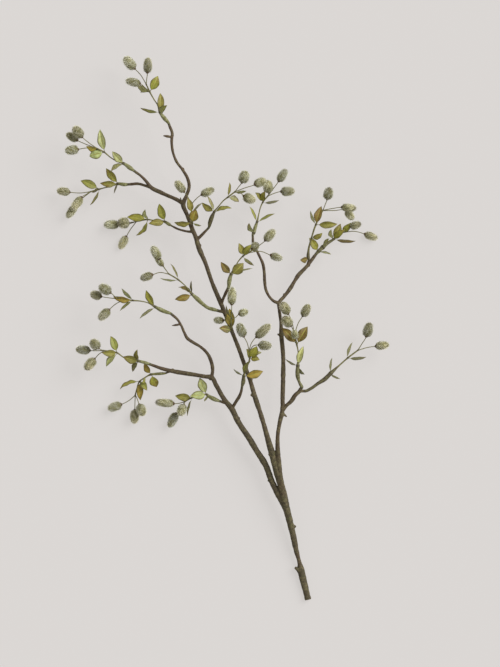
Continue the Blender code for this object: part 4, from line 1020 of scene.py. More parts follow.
def down(draw, spot):
    size = catkinSize
    count = size["hairs"]
    ball = spiral(count) + draw.normal(0, size["seatWander"], (count, 3))
    ball /= np.linalg.norm(ball, axis=1)[:, None]
    ball = ball[ball[:, 2] > size["bareFoot"]]
    count = len(ball)
    places, out, up = onCore(ball)
    reach = (
        out * draw.uniform(*size["hairOut"], (count, 1)) + up * size["hairUp"]
        + draw.normal(0, size["hairWander"], (count, 3)))
    reach /= np.linalg.norm(reach, axis=1)[:, None]
    length = size["hairLength"] * draw.uniform(*size["hairSizes"], (count, 1))
    middle = insideOutline(places + reach * length * 0.5, size["hairRoom"])
    tip = places + reach * length + up * length * draw.uniform(0.0, size["hairSweep"], (count, 1))
    tip = insideOutline(tip, size["haze"] - size["hazeDepth"] * np.sqrt(draw.random(count)))
    aside, upward, wander = size["hairTurn"]
    across = np.cross(reach, out * aside + up * upward + draw.normal(0, wander, (count, 3)))
    across *= size["hairWidth"] / 2 / np.linalg.norm(across, axis=1)[:, None]
    facing = np.sum(np.cross(across, tip - places) * out, axis=1)
    across *= np.where(facing < 0, -1.0, 1.0)[:, None]
    root = places - out * size["hairSunk"]
    waist, narrow = across * size["hairWaist"], across * size["hairTip"]
    corners = np.stack(
        [root - across, root + across, middle - waist, middle + waist, tip - narrow, tip + narrow], axis=1)
    faces = []
    for index in range(count):
        a = index * 6
        faces += [(a, a + 1, a + 3, a + 2), (a + 2, a + 3, a + 5, a + 4)]
    piece = newPiece("down", corners.reshape(-1, 3), faces, silkyDown)
    setNumbers(piece.data, "tuft", np.repeat(tuftShade(ball, spot), 6))
    pale = size["paleFrom"]
    setNumbers(piece.data, "reach", np.tile((0.0, 0.0, pale, pale, 1.0, 1.0), count))
    setNumbers(piece.data, "towardsTip", np.repeat(places[:, 2] / (size["length"] / 2), 6))
    return piece


# A scale of the husk, cupped round the foot of a catkin
husk = {
    "count": 3,
    "apart": 2.1,               # a third of a turn, in radians
    "wander": 0.3,
    "sizes": (0.85, 1.15),
    "length": 0.0058,
    "sunk": 0.0012,
    "halfWidth": 0.0021,
    "widest": (0.18, 0.8, 0.97, 0.7),   # the outline's start, run, end and fullness
    "curl": 1.1,
    "flare": 1.4,
    "foot": 0.0012,             # how far it stands off the catkin's axis, and how much more at its belly
    "belly": 0.0022,
    "bellyRun": (0.75, 0.1),
    "cup": (0.25, 0.75),
    "wall": 0.00022,
    "along": 5,
    "across": 4,
}


def huskTemplate():
    bpy.ops.mesh.primitive_grid_add(x_subdivisions=husk["along"], y_subdivisions=husk["across"], size=1)
    scale = bpy.context.object
    first, run, last, full = husk["widest"]
    for vertex in scale.data.vertices:
        t, s = vertex.co.x + 0.5, vertex.co.y * 2
        wide = husk["halfWidth"] * math.sin(math.pi * min(last, first + run * t)) ** full
        turn = s * husk["curl"]
        bulge = husk["foot"] + husk["belly"] * math.sin(
            math.pi * min(1.0, t * husk["bellyRun"][0] + husk["bellyRun"][1]))
        vertex.co = (
            math.sin(turn) * wide * husk["flare"], bulge * (husk["cup"][0] + husk["cup"][1] * math.cos(turn)),
            t * husk["length"] - husk["sunk"])
    scale.data.materials.append(budHusk)
    applyModifier(scale, "SOLIDIFY", thickness=husk["wall"], offset=0.0)
    bpy.ops.object.shade_smooth()
    scale.name = "huskModel"
    return scale


def placedCatkin(template, scale, base, tip, radius, downShadeLevel, draw):
    axis = tip - base
    turn = axis.to_track_quat("Z", "Y").to_matrix() @ Matrix.Rotation(draw.uniform(0, fullTurn), 3, "Z")
    widen, stretch = radius / catkinSize["radius"], axis.length / catkinSize["length"]
    x, y, z = turn.col[0] * widen, turn.col[1] * widen, turn.col[2] * stretch
    pieces = [placedCopy(template, axesMatrix(x, y, z, (base + tip) / 2))]
    # painted shade under the down, at the level listed for this catkin
    setNumbers(pieces[0].data, "shadeUnderDown", shadeUnderDown[downShadeLevel])
    setNumbers(pieces[0].data, "catkinTone", draw.random())
    spread, least = catkinSize["brownTips"]
    setNumbers(pieces[0].data, "dusk", max(0.0, draw.random() * spread - least))
    for order in range(husk["count"]):
        wander = draw.uniform(-husk["wander"], husk["wander"])
        spun = turn @ Matrix.Rotation(order * husk["apart"] + wander, 3, "Z")
        size = draw.uniform(*husk["sizes"])
        pieces.append(placedCopy(scale, axesMatrix(*(spun.col[axis] * size for axis in range(3)), base)))
    return pieces


shoot = {
    "seed": 5,                  # of all that is drawn at random for the sprays
    "step": 0.0014,
    "sides": 12,
    "sunk": 0.004,              # how far a shoot starts inside its limb
    "straight": 0.004,          # it leaves the limb in line for this long
    "footGirth": 0.85,          # inside the limb, to the limb's own
    "joinGirth": 0.97,
    "nodeSwell": 0.22,          # thicker where leaves spring
    "nodeLength": 0.0026,
    "nodeShade": 0.75,
    "ringShade": 0.9,
    "ringLength": 0.0024,       # of the dark ring where the shoot broke out of its bud
    "barest": 0.0020,           # radius at which the sheath is gone
    "sheathed": 0.0030,         # and from which the shoot is wholly sheathed
    "brownFoot": 0.6,           # how dark a foot is that has no green left
}

# Sprays. limb: what the shoot grows on from. shoot: (x, y, height, radius) after the limb's end.
# green: how green the sheath at its foot still is, 1 unless given.
# leaves: (shoot point, tip x, tip y, width seen in pixels, rise of the tip as a share of its reach).
# down: how deep the painted shade is under each catkin's tips.
# catkins: (shoot point, bend x, y, base x, y, tip x, y, width in pixels, height of the base).
sprays = {
    "spray_crown": {
        "limb": "leader",
        "shoot": (
            (164.7, 118.8, 0.066, 0.0042), (160.0, 112.5, 0.065, 0.0024), (157.8, 105.5, 0.066, 0.0013),
            (154.3, 100.0, 0.067, 0.0012), (149.8, 92.0, 0.069, 0.0015), (146.2, 84.3, 0.071, 0.0013)),
        "leaves": (
            (1, 140.3, 108.5, 2.8, -0.3), (1, 160.5, 93.5, 6.5, 0.4), (1, 166.8, 106.5, 5.5, 1.0),
            (4, 158.2, 76.5, 8.0, 0.3), (4, 137.2, 84.5, 5.0, -0.6), (4, 140.8, 92.3, 3.5, -0.8)),
        "tones": ("green", "olive", "green", "lime", "pale", "dark"),
        "down": ("dusky", "grey", "olive"),
        "catkins": (
            (5, 147.0, 79.0, 147.7, 73.5, 148.3, 57.8, 9.0, 0.075),
            (5, 140.5, 75.0, 135.0, 69.2, 124.0, 57.1, 10.4, 0.066),
            (4, 145.0, 88.0, 140.5, 84.5, 125.7, 81.0, 8.8, 0.082))},
    "spray_crown_left": {
        "limb": "crown_left_limb",
        "shoot": (
            (131.0, 168.7, 0.059, 0.0042), (123.6, 163.6, 0.062, 0.0026), (117.0, 161.4, 0.064, 0.0012),
            (110.5, 157.5, 0.066, 0.0012), (104.4, 152.4, 0.068, 0.0015), (97.0, 148.6, 0.070, 0.0013)),
        "leaves": (
            (1, 112.5, 152.0, 7.0, 0.6), (1, 110.3, 171.5, 4.0, -0.7), (4, 100.0, 129.8, 7.2, 0.5),
            (4, 89.5, 156.3, 9.5, -0.4), (5, 87.3, 147.2, 4.5, 0.9)),
        "tones": ("pale", "pale", "pale", "pale", "mustard"),
        "down": ("olive", "olive", "grey"),
        "catkins": (
            (5, 89.0, 143.0, 82.6, 137.6, 73.5, 127.0, 10.4, 0.072),
            (5, 85.0, 144.0, 77.5, 140.5, 66.3, 133.3, 8.4, 0.056),
            (5, 86.0, 148.3, 78.6, 149.5, 65.0, 151.0, 9.8, 0.064))},
    "spray_far_left": {
        "limb": "far_left_twig",
        "shoot": (
            (124.5, 184.3, 0.034, 0.0037), (117.3, 183.6, 0.032, 0.0025), (110.0, 186.3, 0.030, 0.0012),
            (103.5, 187.7, 0.029, 0.0012), (98.6, 189.0, 0.028, 0.0015), (89.5, 191.6, 0.026, 0.0013)),
        "leaves": (
            (1, 100.0, 183.2, 6.0, 0.8), (1, 113.3, 193.3, 2.0, -0.5), (1, 105.8, 168.2, 6.5, 0.3),
            (4, 80.5, 180.3, 7.5, 0.4), (4, 90.0, 205.0, 2.2, -0.2), (4, 91.5, 192.0, 3.0, -0.35)),
        "tones": ("olive", "dark", "lime", "green", "dark", "dark"),
        "down": ("olive", "silver", "grey"),
        "catkins": (
            (5, 80.0, 192.7, 69.5, 192.0, 56.2, 190.3, 8.6, 0.028),
            (5, 86.0, 194.0, 81.5, 197.0, 71.5, 210.0, 8.8, 0.034),
            (5, 82.0, 198.0, 75.0, 205.5, 66.3, 217.7, 8.5, 0.018))},
    "spray_crown_inner": {
        "limb": "crown_inner_spur",
        "shoot": (
            (192.4, 222.6, 0.0735, 0.0018), (191.8, 213.0, 0.079, 0.0014), (191.0, 205.0, 0.082, 0.0013)),
        "leaves": (
            (0, 174.5, 223.0, 5.0, -0.25), (0, 201.5, 226.0, 1.8, 0.0), (0, 196.0, 209.5, 8.5, 0.4),
            (1, 188.0, 198.5, 6.0, 0.5), (1, 202.3, 203.2, 2.0, 0.1)),
        "tones": ("olive", "pale", "mustard", "olive", "grey"),
        "down": ("silver", "grey"),
        "catkins": (
            (2, 196.0, 199.6, 201.5, 195.3, 214.5, 189.2, 8.6, 0.0886),
            (2, 188.5, 198.0, 184.5, 192.5, 175.6, 181.3, 8.6, 0.090))},
    "spray_crown_right": {
        "limb": "crown_right_twig",
        "green": 0.1,
        "shoot": (
            (210.0, 223.0, 0.072, 0.0042), (212.3, 216.5, 0.075, 0.0040), (214.6, 211.8, 0.077, 0.0021),
            (219.0, 206.3, 0.079, 0.0012), (223.5, 201.0, 0.081, 0.0012), (228.2, 197.4, 0.083, 0.0015),
            (235.5, 191.8, 0.085, 0.0014)),
        "leaves": (
            (2, 202.0, 203.3, 5.5, 0.4), (2, 207.5, 196.0, 2.8, -0.3), (2, 231.5, 208.0, 3.8, 0.2),
            (5, 229.8, 183.0, 2.5, 0.4), (5, 239.3, 201.6, 5.0, -0.5), (6, 246.5, 191.5, 2.5, -0.3)),
        "tones": ("olive", "grey", "olive", "olive", "grey", "pale"),
        "down": ("grey", "grey", "grey"),
        "catkins": (
            (6, 238.5, 187.5, 241.8, 183.3, 246.6, 171.3, 10.8, 0.090),
            (6, 245.0, 188.3, 254.5, 185.3, 266.3, 180.0, 9.2, 0.084),
            (6, 241.5, 194.0, 243.5, 196.4, 255.6, 201.6, 10.0, 0.076))},
    "spray_left_high": {
        "limb": "left_high_twig",
        "shoot": (
            (169.5, 224.6, 0.043, 0.0032), (165.0, 221.8, 0.040, 0.0023), (158.0, 220.3, 0.034, 0.0012),
            (152.5, 220.0, 0.030, 0.0012), (147.0, 219.3, 0.027, 0.0015), (140.0, 220.5, 0.023, 0.0012),
            (135.0, 221.5, 0.020, 0.0013)),
        "leaves": (
            (1, 159.0, 203.8, 7.5, 0.3), (1, 149.0, 223.5, 7.0, 0.8), (4, 144.8, 210.0, 3.8, 1.0),
            (4, 127.0, 216.7, 7.5, 0.6), (4, 136.3, 235.6, 3.5, -0.2)),
        "tones": ("lime", "olive", "pale", "lime", "green"),
        "down": ("grey", "silver", "silver"),
        "catkins": (
            (6, 131.0, 222.0, 128.5, 222.5, 117.6, 223.0, 11.5, 0.024),
            (6, 126.0, 224.0, 118.5, 224.0, 103.0, 224.5, 9.4, 0.0145),
            (6, 129.5, 230.0, 126.0, 236.0, 119.0, 249.0, 8.5, 0.00908))},
    "spray_mid_left": {
        "limb": "mid_left_spur",
        "shoot": (
            (213.5, 309.5, 0.077, 0.0038), (208.0, 307.8, 0.080, 0.0034), (202.8, 304.0, 0.083, 0.0037),
            (198.0, 299.5, 0.086, 0.0045), (192.0, 294.0, 0.089, 0.0026), (186.5, 287.0, 0.092, 0.0012),
            (178.6, 280.0, 0.095, 0.0014), (168.7, 273.9, 0.098, 0.0013)),
        "leaves": (
            (4, 191.5, 281.0, 2.0, 0.2), (4, 178.8, 287.0, 3.5, -0.5), (4, 175.3, 299.6, 6.5, 0.2),
            (6, 171.0, 263.8, 1.8, 0.1), (6, 160.4, 278.6, 1.8, -0.4)),
        "tones": ("dark", "brown", "rusty", "dark", "pale"),
        "down": ("grey", "silver", "dusky"),
        "catkins": (
            (7, 164.5, 267.5, 160.0, 259.5, 152.2, 246.3, 9.0, 0.102),
            (7, 166.0, 270.0, 163.0, 266.0, 156.0, 256.5, 6.6, 0.092),
            (7, 160.0, 272.8, 153.0, 275.0, 140.5, 279.0, 8.6, 0.096))},
    "spray_mid_right": {
        "limb": "mid_right_twig",
        "shoot": (
            (229.4, 281.0, 0.091, 0.0045), (231.3, 274.4, 0.095, 0.0028), (234.5, 268.5, 0.097, 0.0012),
            (238.5, 261.5, 0.099, 0.0012), (243.6, 256.0, 0.102, 0.0015), (250.0, 252.5, 0.103, 0.0013)),
        "leaves": (
            (1, 221.0, 262.5, 6.5, 0.3), (1, 243.5, 263.6, 9.5, 0.5), (1, 252.5, 268.5, 1.9, -0.4),
            (4, 239.0, 243.8, 6.0, 0.4), (4, 251.0, 245.3, 6.0, 0.6), (4, 254.0, 266.0, 3.0, -0.5)),
        "tones": ("brown", "olive", "grey", "olive", "lime", "pale"),
        "down": ("grey", "olive", "olive"),
        "catkins": (
            (5, 259.0, 246.0, 265.0, 241.2, 274.6, 230.0, 9.2, 0.108),
            (5, 261.0, 251.8, 270.5, 255.5, 282.6, 259.5, 8.0, 0.100),
            (5, 251.0, 250.8, 252.0, 250.0, 257.8, 243.5, 8.6, 0.096))},
    "spray_front": {
        "limb": "front_spur",
        "shoot": (
            (232.2, 330.0, 0.089, 0.0022), (231.6, 325.0, 0.094, 0.0016), (231.4, 318.0, 0.099, 0.0014),
            (231.6, 312.0, 0.103, 0.0013)),
        "leaves": ((0, 229.5, 308.8, 9.0, 0.4), (0, 219.6, 328.0, 7.0, 0.4), (2, 226.0, 305.5, 2.0, 0.3)),
        "tones": ("mustard", "dark", "dark"),
        "down": ("silver", "silver", "silver"),
        "catkins": (
            (3, 231.8, 308.0, 231.8, 304.8, 232.3, 286.8, 9.2, 0.108),
            (2, 235.5, 317.5, 239.0, 314.2, 248.0, 310.8, 7.8, 0.092),
            (1, 227.0, 321.0, 223.5, 320.6, 213.8, 320.0, 7.4, 0.086))},
    "spray_inner": {
        "limb": "inner_twig",
        "green": 0.45,
        "shoot": (
            (243.2, 382.0, 0.072, 0.0042), (243.9, 375.6, 0.080, 0.0028), (245.6, 370.0, 0.085, 0.0013),
            (248.0, 364.0, 0.088, 0.0013), (249.8, 357.5, 0.090, 0.0016), (249.0, 350.0, 0.091, 0.0013)),
        "leaves": (
            (1, 233.5, 369.0, 1.8, 0.2), (1, 263.0, 371.3, 7.5, 0.3), (1, 250.0, 360.5, 4.2, 0.4),
            (4, 256.8, 346.5, 8.5, 0.5), (4, 259.5, 359.5, 5.5, 0.2), (4, 246.5, 349.0, 3.0, 0.8),
            (4, 261.5, 352.0, 4.5, -0.7)),
        "tones": ("grey", "mustard", "green", "lime", "olive", "dark", "pale"),
        "down": ("olive", "olive", "olive"),
        "catkins": (
            (5, 247.0, 342.5, 244.0, 336.7, 238.3, 323.0, 9.8, 0.096),
            (5, 251.5, 343.0, 256.0, 337.2, 270.6, 324.3, 9.6, 0.087),
            (5, 254.0, 345.5, 258.5, 345.0, 271.8, 346.0, 9.6, 0.101))},
    "spray_winding": {
        "limb": "winding_limb",
        "shoot": (
            (253.6, 233.0, 0.048, 0.0031), (255.2, 227.5, 0.0475, 0.0035), (257.1, 221.7, 0.047, 0.0021),
            (258.7, 214.5, 0.047, 0.0012), (260.6, 207.0, 0.0475, 0.0012), (263.0, 201.8, 0.048, 0.0015),
            (268.4, 195.4, 0.049, 0.0014)),
        "leaves": (
            (0, 248.8, 223.5, 4.0, 0.5), (2, 249.8, 206.5, 2.5, 0.1), (2, 274.8, 213.4, 2.6, -0.2),
            (5, 255.5, 192.6, 4.5, 0.3), (5, 264.8, 191.5, 5.0, 0.6), (5, 279.2, 200.3, 2.4, -0.3)),
        "tones": ("pale", "green", "green", "olive", "lime", "grey"),
        "down": ("olive", "olive", "silver"),
        "catkins": (
            (6, 273.5, 188.5, 278.6, 181.4, 286.6, 169.0, 9.0, 0.054),
            (6, 275.0, 193.0, 281.0, 191.5, 295.0, 191.0, 9.8, 0.045),
            (6, 268.7, 194.2, 268.8, 193.0, 267.2, 180.0, 10.4, 0.057))},
    "spray_outer_left": {
        "limb": "upper_left_limb",
        "shoot": (
            (167.0, 312.3, 0.069, 0.0036), (160.5, 309.6, 0.069, 0.0042), (155.2, 306.8, 0.069, 0.0025),
            (148.5, 303.0, 0.070, 0.0012), (141.0, 301.2, 0.070, 0.0012), (132.8, 300.5, 0.070, 0.0016),
            (124.0, 299.5, 0.071, 0.0013)),
        "leaves": (
            (2, 146.0, 290.4, 5.5, 0.5), (2, 139.8, 318.4, 2.8, -0.2), (5, 121.8, 288.6, 3.0, 0.2),
            (5, 120.0, 310.8, 2.6, -0.3), (5, 113.4, 297.0, 5.5, 0.4)),
        "tones": ("lime", "grey", "pale", "green", "mustard"),
        "down": ("olive", "olive", "olive"),
        "catkins": (
            (6, 116.5, 297.5, 111.0, 292.8, 99.3, 285.5, 10.6, 0.079),
            (6, 113.0, 298.4, 101.5, 296.6, 90.3, 293.5, 9.4, 0.065),
            (6, 116.0, 304.0, 109.5, 309.6, 98.8, 319.8, 9.4, 0.064))},
    "spray_left_arm": {
        "limb": "left_limb",
        "shoot": (
            (145.0, 362.7, 0.039, 0.0033), (138.0, 361.0, 0.040, 0.0024), (130.5, 360.0, 0.042, 0.0012),
            (123.5, 357.3, 0.044, 0.0012), (116.6, 352.6, 0.046, 0.0015), (110.0, 351.2, 0.048, 0.0012),
            (103.0, 350.5, 0.050, 0.0013)),
        "leaves": (
            (1, 137.0, 349.8, 4.0, 0.7), (1, 132.0, 371.8, 4.4, -0.5), (1, 123.2, 357.0, 7.6, 0.7),
            (4, 110.8, 336.2, 7.0, 0.3), (4, 102.4, 352.8, 7.0, 0.8), (4, 105.8, 366.3, 5.0, -0.3)),
        "tones": ("olive", "dark", "olive", "green", "olive", "pale"),
        "down": ("dusky", "olive", "silver"),
        "catkins": (
            (6, 96.0, 350.8, 90.2, 350.6, 75.5, 349.0, 9.2, 0.052),
            (6, 100.5, 349.5, 98.8, 348.3, 91.2, 340.0, 10.4, 0.062),
            (6, 98.0, 355.0, 94.8, 358.8, 84.8, 369.8, 10.0, 0.044))},
    "spray_left_fork": {
        "limb": "left_fork_spur",
        "shoot": (
            (162.0, 373.6, 0.032, 0.0028), (156.0, 374.0, 0.030, 0.0027), (150.6, 374.6, 0.028, 0.0020),
            (144.5, 377.8, 0.025, 0.0012), (139.3, 381.6, 0.022, 0.0015), (136.5, 389.0, 0.019, 0.0012),
            (134.7, 396.0, 0.017, 0.0013)),
        "leaves": (
            (2, 144.0, 363.5, 5.5, -0.1), (2, 156.2, 387.3, 8.0, -0.4), (3, 142.3, 383.0, 3.0, 0.5),
            (4, 119.3, 388.8, 3.6, -0.1), (4, 146.8, 390.3, 6.0, 0.5), (4, 140.0, 400.3, 6.5, 0.4)),
        "tones": ("mustard", "lime", "green", "green", "green", "mustard"),
        "down": ("olive", "grey", "grey"),
        "catkins": (
            (6, 128.5, 400.8, 121.0, 404.6, 107.2, 409.4, 9.4, 0.015),
            (6, 134.6, 403.5, 134.4, 410.0, 134.0, 424.2, 9.4, 0.0145),
            (6, 137.5, 400.5, 138.8, 404.5, 143.6, 416.2, 10.2, 0.027))},
    "spray_left_low": {
        "limb": "left_low_spur",
        "shoot": (
            (214.5, 399.3, 0.0355, 0.0044), (209.5, 396.8, 0.034, 0.0036), (206.4, 394.6, 0.033, 0.0020),
            (199.0, 396.4, 0.031, 0.0012), (191.5, 398.0, 0.029, 0.0015), (184.0, 402.2, 0.027, 0.0013)),
        "leaves": (
            (2, 199.6, 378.0, 8.0, 0.3), (2, 190.3, 396.2, 8.3, 0.8), (4, 175.2, 396.0, 7.3, 0.6),
            (4, 187.0, 416.2, 2.0, -0.2), (2, 204.6, 401.6, 2.5, -0.3)),
        "tones": ("pale", "pale", "olive", "green", "green"),
        "down": ("silver", "silver", "dusky"),
        "catkins": (
            (5, 179.0, 403.4, 173.8, 403.8, 154.8, 402.2, 8.6, 0.026),
            (5, 184.3, 403.2, 184.0, 404.8, 179.3, 415.8, 9.8, 0.036),
            (5, 180.5, 408.5, 176.2, 413.3, 168.5, 428.0, 9.4, 0.016))},
    "spray_right_upright": {
        "limb": "right_upright_spur",
        "green": 0.6,
        "shoot": (
            (301.0, 385.5, 0.065, 0.0034), (299.0, 381.5, 0.066, 0.0028), (297.8, 377.0, 0.067, 0.0042),
            (297.4, 371.0, 0.068, 0.0042), (297.8, 365.5, 0.069, 0.0032), (298.4, 358.0, 0.070, 0.0016),
            (298.0, 351.0, 0.071, 0.0013), (296.6, 344.0, 0.072, 0.0017), (294.2, 334.0, 0.074, 0.0014)),
        "leaves": (
            (4, 285.3, 359.2, 2.0, -0.2), (4, 304.7, 374.8, 3.2, -0.3), (4, 303.0, 346.3, 6.0, 0.4),
            (7, 282.2, 328.0, 8.6, 0.3), (7, 307.3, 326.6, 8.6, 0.3)),
        "tones": ("grey", "grey", "pale", "mustard", "brown"),
        "down": ("olive", "grey", "grey", "silver"),
        "catkins": (
            (8, 299.0, 321.5, 302.5, 316.3, 309.3, 304.3, 9.2, 0.078),
            (8, 292.3, 328.5, 291.0, 326.0, 282.6, 316.6, 10.4, 0.083),
            (8, 291.5, 321.0, 288.3, 314.0, 281.3, 302.0, 10.0, 0.069),
            (7, 296.0, 340.0, 295.8, 338.5, 293.5, 330.0, 7.4, 0.084))},
    "spray_right_low": {
        "limb": "right_low_spur",
        "green": 0.1,
        "shoot": (
            (310.5, 388.7, 0.058, 0.0031), (318.3, 383.2, 0.056, 0.0034), (324.5, 379.3, 0.054, 0.0044),
            (330.8, 373.2, 0.052, 0.0038), (339.5, 365.2, 0.049, 0.0016), (347.7, 358.0, 0.046, 0.0016),
            (358.3, 350.0, 0.042, 0.0014)),
        "leaves": (
            (3, 331.9, 357.8, 2.0, 0.2), (3, 340.3, 379.2, 2.0, -0.3), (5, 352.2, 342.3, 2.4, 0.2),
            (5, 366.3, 357.2, 3.0, -0.2)),
        "tones": ("pale", "green", "pale", "grey"),
        "down": ("dusky", "silver"),
        "catkins": (
            (6, 361.8, 344.0, 366.2, 336.8, 370.3, 322.3, 10.3, 0.046),
            (6, 367.0, 347.6, 375.5, 346.3, 389.6, 344.5, 8.6, 0.036))},
    "spray_right_high": {
        "limb": "right_high_spur",
        "green": 0.3,
        "shoot": (
            (308.4, 258.5, 0.036, 0.0028), (308.6, 250.0, 0.040, 0.0022), (311.5, 238.0, 0.046, 0.0016),
            (316.0, 224.3, 0.052, 0.0017), (320.0, 216.0, 0.054, 0.0012), (323.3, 209.6, 0.056, 0.0014)),
        "leaves": (
            (0, 300.4, 260.0, 5.5, 0.3), (2, 322.3, 233.3, 5.0, 0.3), (3, 321.3, 206.2, 7.0, 0.5),
            (3, 337.3, 224.2, 6.5, 0.3), (3, 310.3, 211.0, 2.5, 0.2)),
        "tones": ("brown", "olive", "rusty", "olive", "pale"),
        "down": ("olive", "silver", "silver"),
        "catkins": (
            (5, 325.0, 205.0, 327.0, 199.6, 329.6, 187.3, 10.0, 0.060),
            (5, 332.0, 208.6, 341.5, 207.4, 356.5, 208.3, 8.6, 0.055),
            (5, 334.0, 210.5, 346.3, 210.8, 353.8, 219.5, 8.2, 0.038))},
    "spray_far_right": {
        "limb": "right_limb",
        "green": 0.5,
        "shoot": (
            (318.8, 251.0, 0.0235, 0.0034), (323.0, 247.0, 0.022, 0.0040), (326.5, 243.8, 0.021, 0.0036),
            (334.0, 238.8, 0.018, 0.0022), (338.5, 234.5, 0.017, 0.0012), (343.0, 231.9, 0.016, 0.0014)),
        "leaves": (
            (0, 331.3, 254.2, 2.2, 0.3), (0, 309.6, 237.8, 7.0, 0.5), (1, 329.0, 238.6, 3.0, 0.8),
            (3, 356.0, 241.0, 3.0, 0.0), (3, 331.0, 229.6, 3.6, 0.6), (3, 340.8, 223.6, 7.0, 0.5),
            (3, 344.5, 229.5, 6.0, 0.9), (5, 351.0, 222.8, 6.0, 0.5)),
        "tones": ("grey", "lime", "green", "brown", "pale", "olive", "lime", "lime"),
        "down": ("grey", "grey"),
        "catkins": (
            (5, 347.0, 228.5, 350.5, 226.6, 361.3, 223.3, 8.2, 0.026),
            (5, 355.0, 231.0, 365.0, 233.6, 378.3, 238.3, 8.0, 0.00854))},
}


def shootLine(spray):
    limb = route(limbs[spray["limb"]])
    end, endRadius = limb[-1]
    onward = (end - limb[-2][0]).normalized()
    line = route(spray["shoot"])
    start = (end - onward * shoot["sunk"], endRadius * shoot["footGirth"])
    straight = (end + onward * shoot["straight"], endRadius)
    return [start, (end, endRadius * shoot["joinGirth"]), straight] + line, line


# Where a leaf or stalk starts inside the shoot: just below its node, each one lower than the last
def rooted(nodes, node, order):
    place = nodes[node][0]
    below = nodes[max(node - 1, 0)][0] - nodes[max(node, 1)][0]
    return place + below.normalized() * leafSize["rootSpacing"] * (order + 1)


def buildSpray(name, spray, leafModels, catkinModels, scale, draw):
    whole, nodes = shootLine(spray)
    samples = smoothRoute(whole, shoot["step"])
    swell = np.zeros(len(samples))
    for node in {row[0] for row in spray["leaves"]} | {row[0] for row in spray["catkins"]}:
        apart = np.linalg.norm(samples[:, :3] - np.array(nodes[node][0]), axis=1)
        swell = np.maximum(swell, np.exp(-((apart / shoot["nodeLength"]) ** 2)))
    foot = np.linalg.norm(samples[:, :3] - np.array((whole[1][0] + whole[2][0]) / 2), axis=1)
    ring = np.exp(-((foot / shoot["ringLength"]) ** 2))
    sheath = np.clip((samples[:, 3] - shoot["barest"]) / (shoot["sheathed"] - shoot["barest"]), 0, 1)
    green = spray.get("green", 1.0)
    shade = np.maximum.reduce([
        swell * shoot["nodeShade"], ring * shoot["ringShade"], sheath * (1 - green) * shoot["brownFoot"]])
    samples[:, 3] *= 1 + shoot["nodeSwell"] * swell
    stem = tube(name, samples, shoot["sides"], shootSkin, nodeShade=shade)
    sheath *= green
    setNumbers(stem.data, "sheath", np.append(np.repeat(sheath, shoot["sides"]), [sheath[0], sheath[-1]]))
    leafy = [stem]
    for index, (node, x, y, width, lift) in enumerate(spray["leaves"]):
        root = rooted(nodes, node, index % leafSize["rootsInTurn"])
        tip = at(x, y, root.z)
        tip.z += lift * rise(leafSize["length"], (tip - root).length)
        trueWidth = max(width, leafSize["trueWidthPixels"])
        turn = max(math.acos(min(1.0, width / trueWidth)), leafSize["tilt"])
        flat = leafSize["edgeFlat"] if width <= leafSize["edgeWidthPixels"] else 1.0
        leafy.append(placedLeaf(
            draw.choice(leafModels), root, tip, trueWidth / 2 * pixelSize, turn if index % 2 else -turn, flat,
            spray["tones"][index], draw))
    downy = []
    for index, row in enumerate(spray["catkins"]):
        node, bendX, bendY, baseX, baseY, tipX, tipY, width, height = row
        root = rooted(nodes, node, index)
        base, tip = at(baseX, baseY, height), at(tipX, tipY, height)
        slope = 1 if height > root.z else -1
        tip.z += slope * catkinSize["slope"] * rise(catkinSize["length"], (tip - base).length)
        sunk = base + (tip - base).normalized() * catkinSize["stalkSunk"]
        bend = at(bendX, bendY, (root.z + height) / 2)
        thick = [catkinSize["stalkRadius"] * girth for girth in catkinSize["stalkGirths"]]
        stalk = smoothRoute(zip((root, bend, base, sunk), thick), catkinSize["stalkStep"])
        sides, darkness = catkinSize["stalkSides"], catkinSize["stalkShade"]
        downy.append(tube("stalk", stalk, sides, shootSkin, nodeShade=darkness))
        downy += placedCatkin(
            draw.choice(catkinModels), scale, base, tip, width / 2 * pixelSize, spray["down"][index], draw)
    return joined(leafy, name + "_leaves"), joined(downy, name + "_catkins")


twigBark = buildBark()
keepInside(twigBark)
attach(twigBark, "root")
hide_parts("branch")
print("bark:", len(twigBark.data.polygons), "faces")

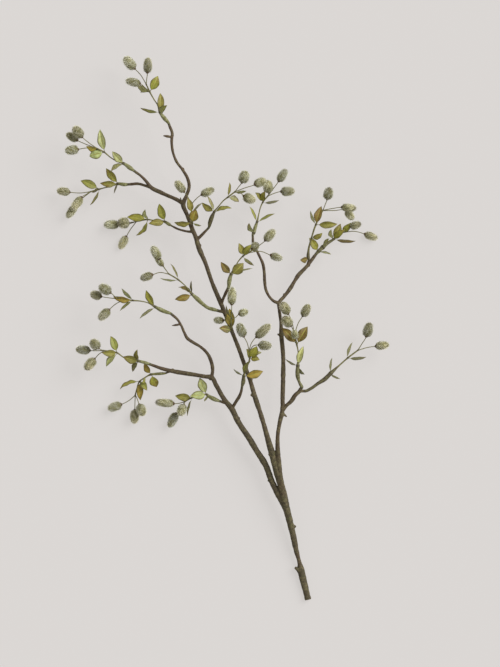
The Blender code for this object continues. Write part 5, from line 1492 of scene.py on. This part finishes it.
leafModels = [leafTemplate(variant) for variant in range(leafSize["models"])]
catkinModels = [catkinTemplate(variant) for variant in range(catkinSize["models"])]
huskModel = huskTemplate()
print("leaf and catkin modelled")
draw = random.Random(shoot["seed"])
for name, spray in sprays.items():
    for piece in buildSpray(name, spray, leafModels, catkinModels, huskModel, draw):
        keepInside(piece)
        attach(piece, "root")
        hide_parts(name)
for model in leafModels + catkinModels + [huskModel]:
    bpy.data.objects.remove(model)
print("sprays placed:", len(sprays))


stage = {
    "floor": "6E6C6B",
    "floorRoughness": 0.9,
    "floorGloss": 0.1,
    "floorTint": (1.0, 0.96, 0.93, 1.0),
    "floorGlow": 0.558,             # a light table, so that shadows stay faint
    "floorSize": 14.0,
    "lens": 300.0,
    "longSide": 36.0,
    "aimHeight": 0.05,
    "keyStrength": 2.65,
    "keyFrom": (3.2, 2.2, 3.2),     # upper right of the picture, less than half way up
    "keySpread": 44,
    "worldStrength": 0.42,
    "worldTint": (1.0, 0.99, 0.98, 1.0),
    "farEnough": 10.0,              # the camera sees this far past the twig
}

bpy.ops.mesh.primitive_plane_add(size=stage["floorSize"])
floor = bpy.context.object
floor.name = "floor"
floor.data.materials.append(newMaterial("palePaperFloor", {
    "Base Color": hexLinear(stage["floor"]),
    "Roughness": stage["floorRoughness"],
    "Specular IOR Level": stage["floorGloss"],
    "Emission Color": stage["floorTint"],
    "Emission Strength": stage["floorGlow"],
})[0])

world = bpy.data.worlds.new("softRoom")
world.use_nodes = True
world.node_tree.nodes["Background"].inputs["Color"].default_value = stage["worldTint"]
world.node_tree.nodes["Background"].inputs["Strength"].default_value = stage["worldStrength"]
bpy.context.scene.world = world

bpy.ops.object.light_add(type="SUN", location=stage["keyFrom"])
key = bpy.context.object
key.data.energy = stage["keyStrength"]
key.data.angle = math.radians(stage["keySpread"])
key.rotation_euler = (-Vector(stage["keyFrom"])).to_track_quat("-Z", "Y").to_euler()

wide, tall = plan["picture"]
aim = at(wide / 2, tall / 2, stage["aimHeight"])
distance = tall * pixelSize * stage["lens"] / stage["longSide"]
bpy.ops.object.camera_add(location=aim + Vector((0.0, 0.0, distance)), rotation=(0.0, 0.0, 0.0))
camera = bpy.context.object
camera.data.lens = stage["lens"]
camera.data.sensor_fit = "VERTICAL"
camera.data.sensor_height = stage["longSide"]
camera.data.clip_end = distance + stage["farEnough"]
bpy.context.scene.camera = camera
bpy.context.scene.view_settings.view_transform = "Standard"
print("stage set")
